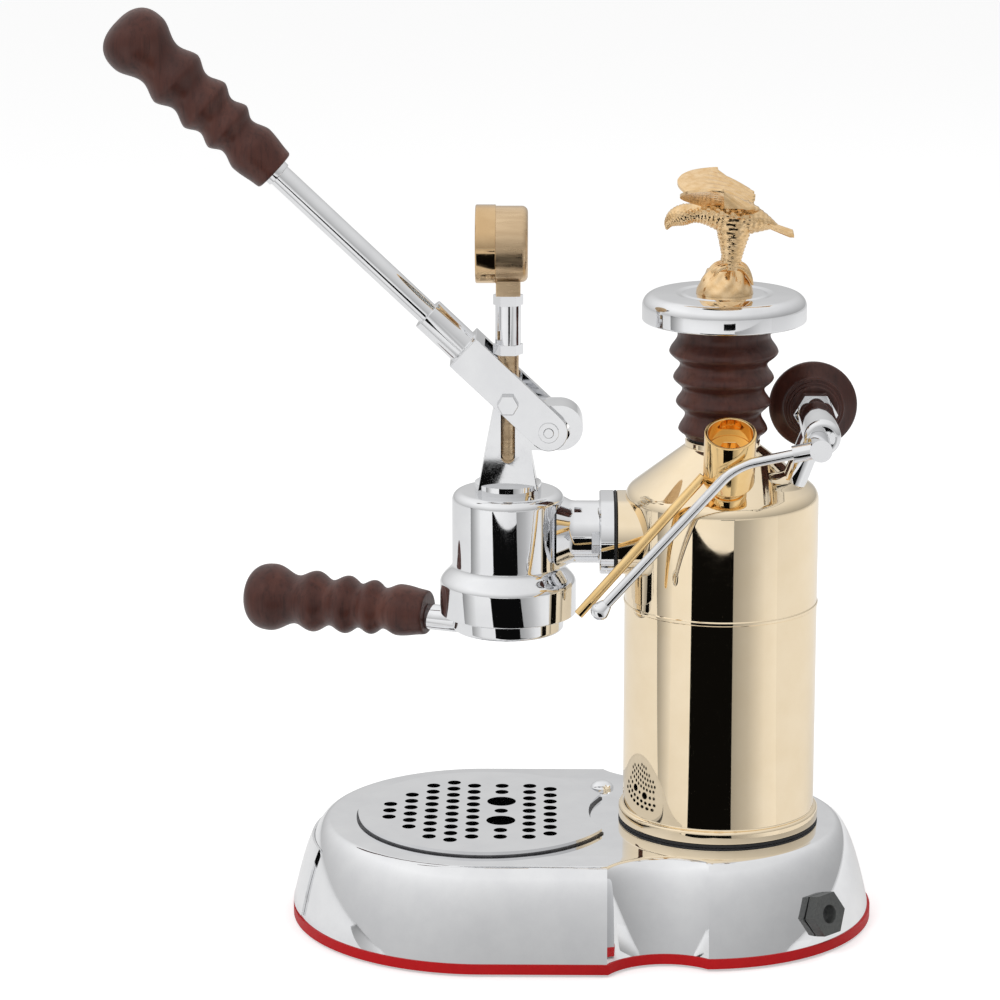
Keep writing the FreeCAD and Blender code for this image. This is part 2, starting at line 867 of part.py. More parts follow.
def plate_screws():
    body = new_body("plate_screws")
    head_bottom = s.foot_recess_depth - s.screw_head_height
    add(body, "heads", [Ring(x, y, s.screw_head_radius) for x, y in post_points], head_bottom, s.foot_recess_depth)
    shanks = [Ring(x, y, s.screw_radius) for x, y in post_points]
    add(body, "shanks", shanks, s.foot_recess_depth - s.screw_head_height / 2, s.foot_recess_depth + s.screw_length)


def front_plate():
    body = new_body("front_plate")
    heights = [wall_station(step)[0] for step in range(wall_steps + 1)]
    inside = [h for h in heights if s.badge_bottom.number < h.number < s.badge_top.number]
    sections = []
    for height in [s.badge_bottom] + inside + [s.badge_top]:
        radius = s.base_front_radius - wall_inset(height) + s.running_fit
        outline = sector(radius, radius + s.badge_depth, dim(180), 2 * s.badge_half_angle)
        shifted = [p if isinstance(p, Arc) else (p[0] + s.base_front_x, p[1]) for p in outline]
        sections.append((height, shifted))
    loft(body, "curve", sections)


def cord_gland():
    place = gland_frame()
    body = new_body("cord_gland", place.Base, place.Rotation)
    add(body, "hex", [hexagon(s.gland_hex_radius)], 0, s.gland_hex_depth)
    add(body, "barrel", [Ring(0, 0, s.gland_barrel_radius)], -s.gland_barrel_length, 1)
    nut_face = -s.base_wall / cosine(wall_lean(s.gland_height)) - 1
    add(body, "nut", [hexagon(s.gland_hex_radius)], nut_face - s.gland_nut_depth, nut_face)
    cut(body, "bore", [Ring(0, 0, s.gland_bore_radius)], -s.gland_barrel_length - 1, s.gland_hex_depth + 1)



def switch_frame():
    place = wall_switch_frame()
    body = new_body("switch_frame", place.Base, place.Rotation)
    add(body, "rim", [switch_opening(s.switch_rim)], 0, s.switch_proud)
    add(body, "box", [switch_opening(0)], -s.switch_depth, s.switch_proud / 2)
    cut(body, "well", [switch_opening(-s.switch_wall)], s.switch_wall - s.switch_depth, s.switch_proud + 1)
    reach = s.switch_tall / 2 - s.switch_wall / 3
    pin = Ring(0, -s.rocker_axis_depth, s.rocker_pin_radius + s.running_fit)
    cut(body, "pin_holes", [pin], -reach, reach, "XZ_Plane")


def switch_rocker():
    tilt = FreeCAD.Rotation(vec(0, 1, 0), s.rocker_tilt.number)
    place = wall_switch_frame() * FreeCAD.Placement(vec(0, 0, -s.rocker_axis_depth.number), tilt)
    body = new_body("switch_rocker", place.Base, place.Rotation)
    half, top = s.rocker_half_long, s.rocker_top
    paddle = [(-half, -s.rocker_drop), (half, -s.rocker_drop), (half, top), (0, top / 2), (-half, top)]
    half_wide = s.switch_tall / 2 - s.switch_wall - s.seat_gap
    add(body, "paddle", [paddle], -half_wide, half_wide, "XZ_Plane")
    reach = s.switch_tall / 2 - s.switch_wall / 2
    add(body, "pin", [Ring(0, 0, s.rocker_pin_radius)], -reach, reach, "XZ_Plane")


def pilot_lamp():
    rise = s.pilot_dome - s.pilot_rim
    dome = (s.pilot_radius * s.pilot_radius + rise * rise) / (2 * rise)
    turned("pilot_lamp", [
        (0, -s.pilot_stem_depth), (s.pilot_stem_radius, -s.pilot_stem_depth), (s.pilot_stem_radius, 0),
        (s.pilot_radius, 0), (s.pilot_radius, s.pilot_rim), Arc(dome), (0, s.pilot_dome)],
        (s.pilot_x, s.pilot_y, s.base_height))


def pressure_switch():
    at = (s.pressure_switch_x, s.pressure_switch_y, floor_top)
    body = new_body("pressure_switch", at)
    add(body, "can", [Ring(0, 0, s.pressure_switch_radius)], 0, s.pressure_switch_height)
    cap_height = s.pressure_switch_height / 4
    add(body, "inlet", [hexagon(s.pressure_switch_radius / 2)], s.pressure_switch_height / 2,
        s.pressure_switch_height + cap_height)


# Drip tray and grille

bowl_inset = s.tray_hole_inset + s.tray_play
bowl_inner = bowl_inset + s.tray_wall


def drip_tray():
    body = new_body("drip_tray")
    bottom = s.base_height - s.tray_depth
    add(body, "bowl", [tray_outline(bowl_inset)], bottom, s.base_height)
    add(body, "flange", [tray_outline(-s.tray_flange_lap)], s.base_height, tray_hang)
    cut(body, "inside", [tray_outline(bowl_inner)], bottom + s.tray_wall, tray_hang + 1)


def grille_holes():
    """Columns of small holes on both sides of a column that has two big ones."""
    front_counts = (9, 10, 9, 6, 3)
    rear_counts = (9, 8)
    columns = [(s.grille_big_x - s.grille_big_gap - s.grille_pitch_x * k, n) for k, n in enumerate(front_counts)]
    columns += [(s.grille_big_x + s.grille_big_gap + s.grille_pitch_x * k, n) for k, n in enumerate(rear_counts)]
    holes = [Ring(x, s.grille_pitch_y * (row - (count - 1) / 2), s.grille_hole_radius)
             for x, count in columns for row in range(count)]
    holes += [Ring(s.grille_big_x, s.grille_pitch_y * row, s.grille_hole_radius) for row in (-4, -3, 0, 3, 4)]
    holes += [Ring(s.grille_big_x, side * s.grille_big_y, s.grille_big_radius) for side in (-1, 1)]
    return holes


def drip_grille():
    body = new_body("drip_grille")
    top = tray_hang + s.grille_thickness
    add(body, "plate", [tray_outline(0)], tray_hang, top)
    skirt = bowl_inner + s.tray_play
    add(body, "skirt", [tray_outline(skirt), tray_outline(skirt + s.grille_skirt_wall)],
        tray_hang - s.grille_skirt_depth, tray_hang + s.grille_thickness / 2)
    cut(body, "holes", grille_holes(), tray_hang - 1, top + 1)


# Boiler

boiler_floor_top = boiler_seat + s.boiler_floor
half_turn = (90 - s.shoulder_slope) / 2


def flange_outline():
    return oblong(dim(0), port_height, s.flange_half_width - s.flange_half_height, s.flange_half_height)


def bolt_rings(radius):
    return [Ring(side * s.bolt_spread, port_height, radius) for side in (-1, 1)]


def boiler_shell():
    body = new_body("boiler_shell", (s.boiler_x, 0, 0))
    radius = s.boiler_radius
    run = s.shoulder_round * tangent(half_turn)
    foot_top = boiler_seat + s.boiler_foot_height
    seam_low = boiler_seat + s.seam_rise - s.seam_width / 2
    seam_high = seam_low + s.seam_width
    turn_solid(body, "outside", [
        (0, spigot_bottom), (s.spigot_radius, spigot_bottom), (s.spigot_radius, boiler_seat),
        (s.boiler_foot_radius, boiler_seat), (s.boiler_foot_radius, foot_top), (radius, foot_top),
        (radius, seam_low), (radius + s.seam_proud, seam_low), (radius + s.seam_proud, seam_high),
        (radius, seam_high), (radius, shoulder_edge - run), Arc(s.shoulder_round),
        (radius - run * cosine(s.shoulder_slope), shoulder_edge + run * sine(s.shoulder_slope)),
        (s.neck_radius, neck_base), (s.neck_radius, neck_top), (0, neck_top)])
    face = boss_face - s.boiler_x
    add(body, "boss", [flange_outline()], face, -radius / 2, "YZ_Plane")
    inner = radius - s.boiler_wall
    inner_edge = shoulder_edge - s.boiler_wall * tangent(half_turn)
    inner_neck = inner_edge + (inner - s.neck_bore) * tangent(s.shoulder_slope)
    turn_hollow(body, "inside", [
        (0, spigot_bottom - 1), (s.spigot_bore, spigot_bottom - 1), (s.spigot_bore, boiler_floor_top),
        (inner, boiler_floor_top), (inner, inner_edge), (s.neck_bore, inner_neck), (s.neck_bore, neck_top + 1),
        (0, neck_top + 1)])
    cut(body, "bolt_holes", bolt_rings(s.bolt_radius + s.running_fit), face - 1, face + s.bolt_bite + 1, "YZ_Plane")
    cut(body, "port", [Ring(0, port_height, s.port_radius)], face - 1, -inner + s.boiler_wall, "YZ_Plane")


def boiler_gasket():
    outline = tube_outline(s.spigot_radius + s.seat_gap, s.boiler_foot_radius, s.base_height, boiler_seat)
    turned("boiler_gasket", outline, (s.boiler_x, 0, 0))


def boiler_lock_ring():
    body = new_body("boiler_lock_ring", (s.boiler_x, 0, 0))
    add(body, "nut", [hexagon(s.lock_ring_radius), Ring(0, 0, s.spigot_radius + s.running_fit)],
        roof_bottom - s.lock_ring_height, roof_bottom)


def heating_element():
    body = new_body("heating_element", (s.boiler_x, 0, 0))
    plug = s.spigot_bore - s.running_fit
    flange_bottom = spigot_bottom - s.element_flange_height
    turn_solid(body, "plug", [
        (0, flange_bottom), (s.element_flange_radius, flange_bottom), (s.element_flange_radius, spigot_bottom),
        (plug, spigot_bottom), (plug, boiler_floor_top), (0, boiler_floor_top)])
    side = s.element_spread
    foot = boiler_floor_top - s.boiler_floor / 2
    path = [(-side, foot), (-side, element_top), Arc(side, "right"), (0, element_top + side),
            Arc(side, "right"), (side, element_top), (side, foot)]
    sweep(body, "loop", [Ring(-side, 0, s.element_rod_radius)], "XY_Plane", foot, path)


glass_y = s.boiler_radius + s.glass_reach
glass_sink = s.glass_fitting_height / 3


def sight_glass_tube():
    outline = tube_outline(s.glass_radius - s.glass_wall, s.glass_radius, glass_low - glass_sink,
                           glass_high + glass_sink)
    turned("sight_glass_tube", outline, (s.boiler_x, glass_y, 0))


def sight_glass_fittings():
    body = new_body("sight_glass_fittings", (s.boiler_x, glass_y, 0))
    half = s.glass_fitting_height / 2
    for name, middle in (("low", glass_low), ("high", glass_high)):
        add(body, f"cup_{name}", [Ring(0, 0, s.glass_fitting_radius)], middle - half, middle + half)
        add(body, f"arm_{name}", [Ring(0, middle, s.glass_arm_radius)], 0, s.glass_reach + s.boiler_wall / 2,
            "XZ_Plane")
    socket = [Ring(0, 0, s.glass_radius + s.running_fit)]
    cut(body, "sockets", socket, glass_low - glass_sink, glass_high + glass_sink)


# Joint between the boiler and the group

def flange_gasket():
    body = new_body("flange_gasket")
    holes = [Ring(0, port_height, s.port_radius)] + bolt_rings(s.bolt_radius + s.seat_gap)
    add(body, "sheet", [flange_outline()] + holes, flange_back, boss_face, "YZ_Plane")


def flange_bolts():
    body = new_body("flange_bolts")
    heads = [hexagon(s.bolt_head_radius, side * s.bolt_spread, port_height) for side in (-1, 1)]
    add(body, "heads", heads, s.flange_x - s.bolt_head_height, s.flange_x, "YZ_Plane")
    add(body, "shanks", bolt_rings(s.bolt_radius), s.flange_x - s.bolt_head_height / 2, boss_face + s.bolt_bite,
        "YZ_Plane")


# Group

group_axis = (s.group_x, 0, 0)
sleeve_bottom = channel_top - s.basket_rim_thickness
lug_rest = 90 - s.handle_yaw


def group_body():
    body = new_body("group_body", group_axis)
    skirt_top = bell_bottom + s.bell_skirt
    flare = wave([(s.bell_radius, skirt_top), (s.bell_top_radius, skirt_top + s.bell_flare)])
    turn_solid(body, "bell", [(0, bell_bottom), (s.bell_radius, bell_bottom)] + flare + [
        (s.bell_top_radius, bell_top - s.bell_top_round), Arc(s.bell_top_round),
        (s.bell_top_radius - s.bell_top_round, bell_top), (0, bell_top)])
    front = s.flange_x - s.group_x
    back = flange_back - s.group_x
    add(body, "neck", [Ring(0, port_height, s.neck_pipe_radius)], 0, front, "YZ_Plane")
    add(body, "flange", [flange_outline()], front, back, "YZ_Plane")
    sleeve = s.sleeve_radius + s.running_fit
    bush = s.bush_radius + s.running_fit
    turn_hollow(body, "inside", [
        (0, bell_bottom - 1), (s.lip_bore, bell_bottom - 1), (s.lip_bore, lip_top), (s.channel_radius, lip_top),
        (s.channel_radius, channel_top), (s.group_seal_radius, channel_top), (s.group_seal_radius, seal_top),
        (sleeve, seal_top), (sleeve, sleeve_top), (bush, sleeve_top), (bush, bell_top + 1),
        (0, bell_top + 1)])
    for name, half in (("left", 0), ("right", 180)):
        gap = sector(s.lip_bore - 1, s.channel_radius, lug_rest - s.unlock_angle + half, s.lip_gap_angle)
        cut(body, f"gap_{name}", [gap], bell_bottom - 1, lip_top + s.seat_gap)
    cut(body, "port", [Ring(0, port_height, s.port_radius)], s.sleeve_radius - 1, back + 1, "YZ_Plane")
    cut(body, "bolt_holes", bolt_rings(s.bolt_radius + s.seat_gap), front - 1, back + 1, "YZ_Plane")


def piston_sleeve():
    outline = tube_outline(sleeve_bore, s.sleeve_radius, sleeve_bottom, sleeve_top)
    body = turned("piston_sleeve", outline, group_axis)
    cut(body, "inlet", [Ring(0, port_height, s.port_radius / 2)], 0, s.sleeve_radius + 1, "YZ_Plane")


def hole_rings(radius, pitch, rounds):
    """A middle hole and rings of six, twelve and more holes about it."""
    holes = [Ring(0, 0, radius)]
    for ring in range(1, rounds + 1):
        for k in range(6 * ring):
            angle = 60 * k / ring
            holes.append(Ring(pitch * ring * cosine(angle), pitch * ring * sine(angle), radius))
    return holes


def shower_screen():
    body = new_body("shower_screen", group_axis)
    bottom = sleeve_bottom - s.screen_thickness
    add(body, "disc", [Ring(0, 0, s.sleeve_radius)], bottom, sleeve_bottom)
    cut(body, "holes", hole_rings(s.screen_hole_radius, s.sleeve_radius / 4, 3), bottom - 1, sleeve_bottom + 1)


def group_seal():
    outline = tube_outline(s.sleeve_radius + s.running_fit, s.group_seal_radius - s.running_fit, channel_top, seal_top)
    turned("group_seal", outline, group_axis)


def rod_bush():
    turned("rod_bush", tube_outline(s.rod_radius + s.running_fit, s.bush_radius, sleeve_top, bell_top), group_axis)


def upright_slot(x, bottom, top, radius):
    return [(x - radius, top - radius), (x - radius, bottom + radius), Arc(radius), (x, bottom), Arc(radius),
            (x + radius, bottom + radius), (x + radius, top - radius), Arc(radius), (x, top), Arc(radius)]


def group_yoke():
    body = new_body("group_yoke", group_axis)
    add(body, "foot", [Ring(0, 0, s.yoke_foot_radius)], bell_top, bell_top + s.yoke_foot_height)
    base, top, deep = s.tower_base_half, s.tower_top_half, s.tower_half_depth
    tower = [(-base, bell_top), (base, bell_top), (top, tower_shoulder), (top, tower_top),
             (-top, tower_top), (-top, tower_shoulder)]
    add(body, "tower", [tower], -deep, deep, "XZ_Plane")
    ear_x = s.ear_x - s.group_x
    ear_z = fulcrum_height + s.ear_rise
    ear = [(0, ear_z - s.ear_radius), (ear_x, ear_z - s.ear_radius), Arc(s.ear_radius), (ear_x + s.ear_radius, ear_z),
           Arc(s.ear_radius), (ear_x, ear_z + s.ear_radius), (0, ear_z + s.ear_radius)]
    add(body, "ear", [ear], -deep, deep, "XZ_Plane")
    cut(body, "rod_passage", [Ring(0, 0, s.rod_radius + s.seat_gap)], bell_top - 1, tower_top + 1)
    stroke = pivot_height - rod_slot_bottom - s.rod_slot_half
    stem_way = Ring(0, 0, s.stem_nut_radius + s.seat_gap)
    cut(body, "stem_passage", [stem_way], rod_top - stroke - s.seat_gap, tower_top + 1)
    slot = upright_slot(dim(0), rod_slot_bottom, rod_slot_top, s.rod_slot_half)
    cut(body, "rod_slot", [slot], -deep - 1, deep + 1, "XZ_Plane")
    middle = (s.ear_slot_front + s.ear_slot_rear) / 2 - s.group_x
    half = (s.ear_slot_rear - s.ear_slot_front) / 2 - s.ear_slot_half
    cut(body, "ear_slot", [oblong(middle, fulcrum_height, half, s.ear_slot_half)], -deep - 1, deep + 1, "XZ_Plane")


# Piston

piston_top = piston_bottom + s.piston_height
piston_radius = sleeve_bore - s.piston_play
seal_root = piston_radius - s.piston_seal_depth
seal_floors = (piston_bottom + s.piston_seal_margin, piston_top - s.piston_seal_margin - s.piston_seal_height)


def piston_rod():
    tip = rod_top + s.rod_tip_length
    body = turned("piston_rod", [
        (0, piston_bottom), (s.rod_tail_radius, piston_bottom), (s.rod_tail_radius, piston_top),
        (s.rod_radius, piston_top), (s.rod_radius, rod_top), (s.rod_tip_radius, rod_top),
        (s.rod_tip_radius, tip), (0, tip)], group_axis)
    reach = s.rod_radius + 1
    hole = Ring(0, pivot_height, s.pivot_radius + s.running_fit)
    cut(body, "pivot_hole", [hole], -reach, reach, "XZ_Plane")


def piston_head():
    tail = s.rod_tail_radius + s.running_fit
    outline = [(tail, piston_bottom), (piston_radius, piston_bottom)]
    for floor in seal_floors:
        ceiling = floor + s.piston_seal_height
        outline += [(piston_radius, floor), (seal_root, floor), (seal_root, ceiling), (piston_radius, ceiling)]
    turned("piston_head", outline + [(piston_radius, piston_top), (tail, piston_top)], group_axis)


def piston_seals():
    body = new_body("piston_seals", group_axis)
    for index, floor in enumerate(seal_floors):
        ceiling = floor + s.piston_seal_height
        turn_solid(body, f"ring{index}", tube_outline(seal_root + s.running_fit, sleeve_bore - 2 * s.running_fit,
                                                      floor + s.running_fit, ceiling - s.running_fit))


# Lever

fork_outside = s.tower_half_depth + s.fork_arm_gap + s.fork_arm
web_end = s.fork_web_start + s.fork_web
socket_end = web_end + s.socket_length
fulcrum = (fulcrum_x, 0, fulcrum_height)
pivot = (s.group_x, 0, pivot_height)
lever_turn = (vec(0, 1, 0), lever_angle)
rod_turn = (vec(0, -1, 0), 90 - lever_angle)
pivot_x = -s.lever_arm * cosine(s.lever_cant)
pivot_z = -s.lever_arm * sine(s.lever_cant)


def lever_fork():
    """Two arms, the web that joins them and the rod's socket, with the rod towards -X."""
    body = new_body("lever_fork", fulcrum, lever_turn)
    wide = s.fork_half_width
    arms = [(0, -wide), Arc(wide), (wide, 0), Arc(wide), (0, wide), (-web_end, wide), (-web_end, -wide)]
    add(body, "arms", [arms], -fork_outside, fork_outside, "XZ_Plane")
    gap = s.tower_half_depth + s.fork_arm_gap
    cut(body, "gap", [rectangle(-s.fork_web_start, -wide - 1, wide + 1, wide + 1)], -gap, gap, "XZ_Plane")
    add(body, "socket", [Ring(0, 0, s.socket_radius)], -socket_end, 1 - web_end, "YZ_Plane")
    bore = Ring(0, 0, s.lever_rod_radius + s.running_fit)
    cut(body, "bore", [bore], -socket_end - 1, s.socket_bore_depth - socket_end, "YZ_Plane")
    pins = [Ring(0, 0, s.fulcrum_radius + s.running_fit), Ring(pivot_x, pivot_z, s.pivot_radius + s.running_fit)]
    cut(body, "pin_holes", pins, -fork_outside - 1, fork_outside + 1, "XZ_Plane")


def lever_rod():
    start = socket_end - s.socket_bore_depth
    collar = s.grip_start - s.ferrule_length
    tang_end = s.grip_start + s.tang_length
    turned("lever_rod", [
        (0, start), (s.lever_rod_radius, start), (s.lever_rod_radius, collar), (s.ferrule_radius, collar),
        (s.ferrule_radius, s.grip_start), (s.tang_radius, s.grip_start), (s.tang_radius, tang_end), (0, tang_end)],
        fulcrum, rod_turn)


# Shares of the ball's radius and of the grip's length, mouth to ball
grip_shape = ((0.66, 0.0), (0.765, 0.15), (0.612, 0.235), (0.806, 0.30), (0.662, 0.37), (0.862, 0.443),
              (0.685, 0.53), (0.912, 0.62), (0.726, 0.72), (1.0, 0.857))


def turned_grip(label, start, length, at, turn):
    bore = s.tang_radius + s.running_fit
    blind = start + s.tang_length + 1
    extremes = [(s.grip_ball * radius, start + length * along) for radius, along in grip_shape]
    end_round = length * (1 - grip_shape[-1][1])
    outline = [(bore, start)] + wave(extremes) + [
        Arc(end_round), (s.grip_ball - end_round, start + length), (0, start + length), (0, blind), (bore, blind)]
    turned(label, outline, at, turn)


def rod_pin():
    body = new_body("rod_pin", pivot)
    reach = fork_outside + s.pivot_head_height
    add(body, "shank", [Ring(0, 0, s.pivot_radius)], -reach, reach, "XZ_Plane")
    add(body, "head", [hexagon(s.pivot_head_radius)], fork_outside, reach, "XZ_Plane")
    add(body, "nut", [hexagon(s.pivot_head_radius)], -reach, -fork_outside, "XZ_Plane")


def fulcrum_pin():
    """The pin, its roller in the yoke's slot and a clip at each end, as loose solids."""
    body = new_body("fulcrum_pin", fulcrum)
    end = fork_outside + 2 * s.clip_thickness
    loose = s.fulcrum_radius + s.running_fit
    half = s.tower_half_depth - s.seat_gap
    clip_in = fork_outside + s.running_fit
    clip_out = clip_in + s.clip_thickness
    add(body, "pin", [Ring(0, 0, s.fulcrum_radius)], -end, end, "XZ_Plane")
    add(body, "roller", [Ring(0, 0, s.roller_radius), Ring(0, 0, loose)], -half, half, "XZ_Plane")
    clip = [Ring(0, 0, s.clip_radius), Ring(0, 0, loose)]
    add(body, "near_clip", clip, clip_in, clip_out, "XZ_Plane")
    add(body, "far_clip", clip, -clip_out, -clip_in, "XZ_Plane")


# Pressure gauge, facing the front

tube_bottom = rod_top + s.stem_nut_height
tube_top = tube_bottom + s.stem_tube_length
stem_top = tube_top + s.stem_nut_height
gauge_height = stem_top + s.gauge_block_height + s.gauge_drop
gauge_at = (s.group_x, 0, gauge_height)
face_front = FreeCAD.Rotation(vec(0, 1, 0), -90)
glass_front = s.gauge_front + s.bezel_depth - s.bezel_lip_depth
dial_front = s.gauge_front + s.dial_thickness


def gauge_stem():
    body = new_body("gauge_stem", group_axis)
    add(body, "low_nut", [hexagon(s.stem_nut_radius)], rod_top, tube_bottom)
    add(body, "tube", [Ring(0, 0, s.stem_tube_radius)], tube_bottom - 1, tube_top + 1)
    add(body, "high_nut", [hexagon(s.stem_nut_radius)], tube_top, stem_top)
    tip = Ring(0, 0, s.rod_tip_radius + s.running_fit)
    cut(body, "thread", [tip], rod_top - 1, rod_top + s.rod_tip_length + s.seat_gap)


def gauge_case():
    body = new_body("gauge_case", gauge_at, face_front)
    radius, back, edge = s.gauge_radius, -s.gauge_back, s.gauge_edge_round
    inner = radius - s.gauge_wall
    turn_solid(body, "cup", [
        (0, back), (radius - edge, back), Arc(edge), (radius, back + edge), (radius, s.gauge_front),
        (inner, s.gauge_front), (inner, back + s.gauge_wall), (0, back + s.gauge_wall)])
    bore = s.spindle_radius + s.running_fit
    post_back = s.gauge_wall / 2 - s.gauge_back
    turn_solid(body, "movement", tube_outline(bore, s.movement_radius, post_back, s.gauge_front))
    half = s.gauge_block
    block = rectangle(-half, -half, half, half)
    add(body, "block", [block], stem_top - gauge_height, s.gauge_wall - radius, "YZ_Plane")


def gauge_dial():
    outline = tube_outline(s.spindle_radius + s.seat_gap, s.gauge_radius - s.dial_seat, s.gauge_front, dial_front)
    turned("gauge_dial", outline, gauge_at, face_front)


def gauge_bezel():
    inner = s.gauge_radius - s.seat_gap
    front = s.gauge_front + s.bezel_depth
    turned("gauge_bezel", [
        (inner, s.gauge_front), (s.bezel_radius, s.gauge_front), (s.bezel_radius, front),
        (s.bezel_radius - s.bezel_lip, front), (s.bezel_radius - s.bezel_lip, glass_front), (inner, glass_front)],
        gauge_at, face_front)


def gauge_glass():
    radius = s.gauge_radius - 2 * s.seat_gap
    back = glass_front - s.glass_disc
    turned("gauge_glass", [(0, back), (radius, back), (radius, glass_front), (0, glass_front)], gauge_at, face_front)


def gauge_needle():
    turn = face_front * FreeCAD.Rotation(vec(0, 0, 1), 135)
    body = new_body("gauge_needle", gauge_at, turn)
    back = dial_front + s.needle_stand
    half = s.needle_half_width
    pointer = [(-s.needle_tail, -half), (0, -half), (s.needle_length, -half / 4), (s.needle_length, half / 4),
               (0, half), (-s.needle_tail, half)]
    add(body, "pointer", [pointer], back, back + s.needle_thickness)
    add(body, "hub", [Ring(0, 0, 2 * half)], back, back + 2 * s.needle_thickness)
    add(body, "spindle", [Ring(0, 0, s.spindle_radius)], 0, back + s.needle_thickness)


# Filler cap

boiler_axis = (s.boiler_x, 0, 0)
plate_bottom = cap_bottom + s.cap_grip_length
plate_top = plate_bottom + s.cap_plate_height
stud_top = plate_top - s.cap_plate_wall
cap_flange_top = cap_bottom + s.cap_flange_height

# Shares of the widest radius and of the length, mouth to top
cap_shape = ((0.69, 0.0), (0.82, 0.065), (0.70, 0.195), (0.87, 0.30), (0.754, 0.41), (0.925, 0.51),
             (0.80, 0.625), (1.0, 0.735), (0.85, 0.875), (0.93, 1.0))


def cap_gasket():
    inner = s.neck_bore + 2 * s.seat_gap
    turned("cap_gasket", tube_outline(inner, s.cap_gasket_radius, neck_top, cap_bottom), boiler_axis)


def cap_plug():
    thread = s.neck_bore - s.cap_thread_gap
    bottom = cap_bottom - s.cap_thread_depth
    turned("cap_plug", [
        (0, bottom), (thread, bottom), (thread, cap_bottom), (s.cap_flange_radius, cap_bottom),
        (s.cap_flange_radius, cap_flange_top), (s.cap_stud_radius, cap_flange_top), (s.cap_stud_radius, stud_top),
        (0, stud_top)], boiler_axis)


def cap_grip():
    flange = s.cap_flange_radius + s.running_fit
    stud = s.cap_stud_radius + s.running_fit
    extremes = [(s.cap_grip_radius * radius, cap_bottom + s.cap_grip_length * along) for radius, along in cap_shape]
    turned("cap_grip", [(flange, cap_bottom)] + wave(extremes) + [
        (stud, plate_bottom), (stud, cap_flange_top), (flange, cap_flange_top)], boiler_axis)


def cap_plate():
    radius, edge = s.cap_plate_radius, s.cap_plate_round
    stud = s.cap_stud_radius + s.running_fit
    body = turned("cap_plate", [
        (stud, plate_bottom), (radius, plate_bottom), (radius, plate_top - edge), Arc(edge),
        (radius - edge, plate_top), (0, plate_top), (0, stud_top), (stud, stud_top)], boiler_axis)
    hollow = radius - s.cap_plate_wall
    hub = s.cap_grip_radius
    turn_hollow(body, "underside", [
        (hub, plate_bottom - 1), (hollow, plate_bottom - 1), (hollow, plate_top - edge),
        (hollow - edge / 2, stud_top), (hub, stud_top)])


def finial_piece(kind, name, measures, at, turn=FreeCAD.Rotation()):
    item = doc.addObject(kind, f"cap_finial_{name}")
    for prop, value in measures.items():
        bind(item, prop, s.finial_scale * value)
    item.Placement = FreeCAD.Placement(vec(0, 0, 0), turn)
    for axis, start, step in zip("xyz", (s.boiler_x, dim(0), plate_top), at):
        bind(item, f"Placement.Base.{axis}", start + s.finial_scale * step)
    return item


def frustum(name, start, end, start_radius, end_radius):
    """A cone's slice between two points over the plate's middle."""
    run = vec(*end) - vec(*start)
    measures = {"Radius1": start_radius, "Radius2": end_radius, "Height": run.Length}
    return finial_piece("Part::Cone", name, measures, start, FreeCAD.Rotation(vec(0, 0, 1), run))


def cap_finial():
    """A plain perched eagle: rock, legs, body, neck, head, beak, tail and two raised wings."""
    droop = FreeCAD.Rotation(vec(0, 1, 0), 16)
    pieces = [
        frustum("rock", (0, 0, 0), (0, 0, 13), 14, 8),
        frustum("legs", (2, 0, 11), (4.5, 0, 35), 6, 8),
        frustum("rump", (4, 0, 38), (21, 0, 33), 8.4, 3.6),
        frustum("breast", (4, 0, 38), (-10, 0, 40), 8.4, 5.6),
        frustum("neck", (-10, 0, 40), (-22, 0, 37.5), 5.6, 4.2),
        finial_piece("Part::Sphere", "head", {"Radius": 4.9}, (-22.5, 0, 37.3)),
        frustum("beak", (-25.5, 0, 36), (-28.5, 0, 32.5), 2.4, 0.7),
        finial_piece("Part::Box", "tail", {"Length": 16, "Width": 11, "Height": 2.2}, (16, -5.5, 34), droop),
    ]
    for name, side in (("near", -1), ("far", 1)):
        rise = math.radians(28)
        half = vec(0, -side * math.sin(rise), math.cos(rise)) * 1.6
        middle = vec(-3, side * 18, 49.5)
        pieces.append(frustum(f"wing_{name}", middle - half, middle + half, 20.5, 17.5))
    finial = doc.addObject("Part::MultiFuse", "cap_finial")
    finial.Label = "cap_finial"
    finial.Shapes = pieces
    nodes.append(finial)


# Safety valve and relief pipe

safety_seat = cone_height(s.safety_offset)
safety_at = (s.safety_x, -s.safety_offset, safety_seat)
safety_turn = (vec(1, 0, 0), s.safety_tilt)
tube_floor = s.safety_neck_height + s.safety_floor
safety_top = s.safety_neck_height + s.safety_tube_height
screw_top = safety_top - s.safety_screw_drop
screw_bottom = screw_top - s.safety_screw_height


def safety_valve_body():
    neck, tube, bore = s.safety_neck_radius, s.safety_tube_radius, s.safety_tube_bore
    turned("safety_valve_body", [
        (0, -s.safety_sink), (s.safety_foot_radius, -s.safety_sink), (s.safety_foot_radius, s.safety_foot_height),
        (neck, s.safety_foot_height), (neck, s.safety_neck_height), (tube, s.safety_neck_height),
        (tube, safety_top), (bore, safety_top), (bore, tube_floor), (0, tube_floor)], safety_at, safety_turn)


def safety_valve_screw():
    body = new_body("safety_valve_screw", safety_at, safety_turn)
    add(body, "disc", [Ring(0, 0, s.safety_tube_bore - s.running_fit)], screw_bottom, screw_top)
    cut(body, "socket", [hexagon(s.safety_socket_radius)], screw_top - s.safety_screw_height / 2, screw_top + 1)


def safety_valve_spring():
    outer = s.safety_tube_bore - 2 * s.seat_gap
    turned("safety_valve_spring", tube_outline(outer * 0.7, outer, tube_floor, screw_bottom), safety_at, safety_turn)


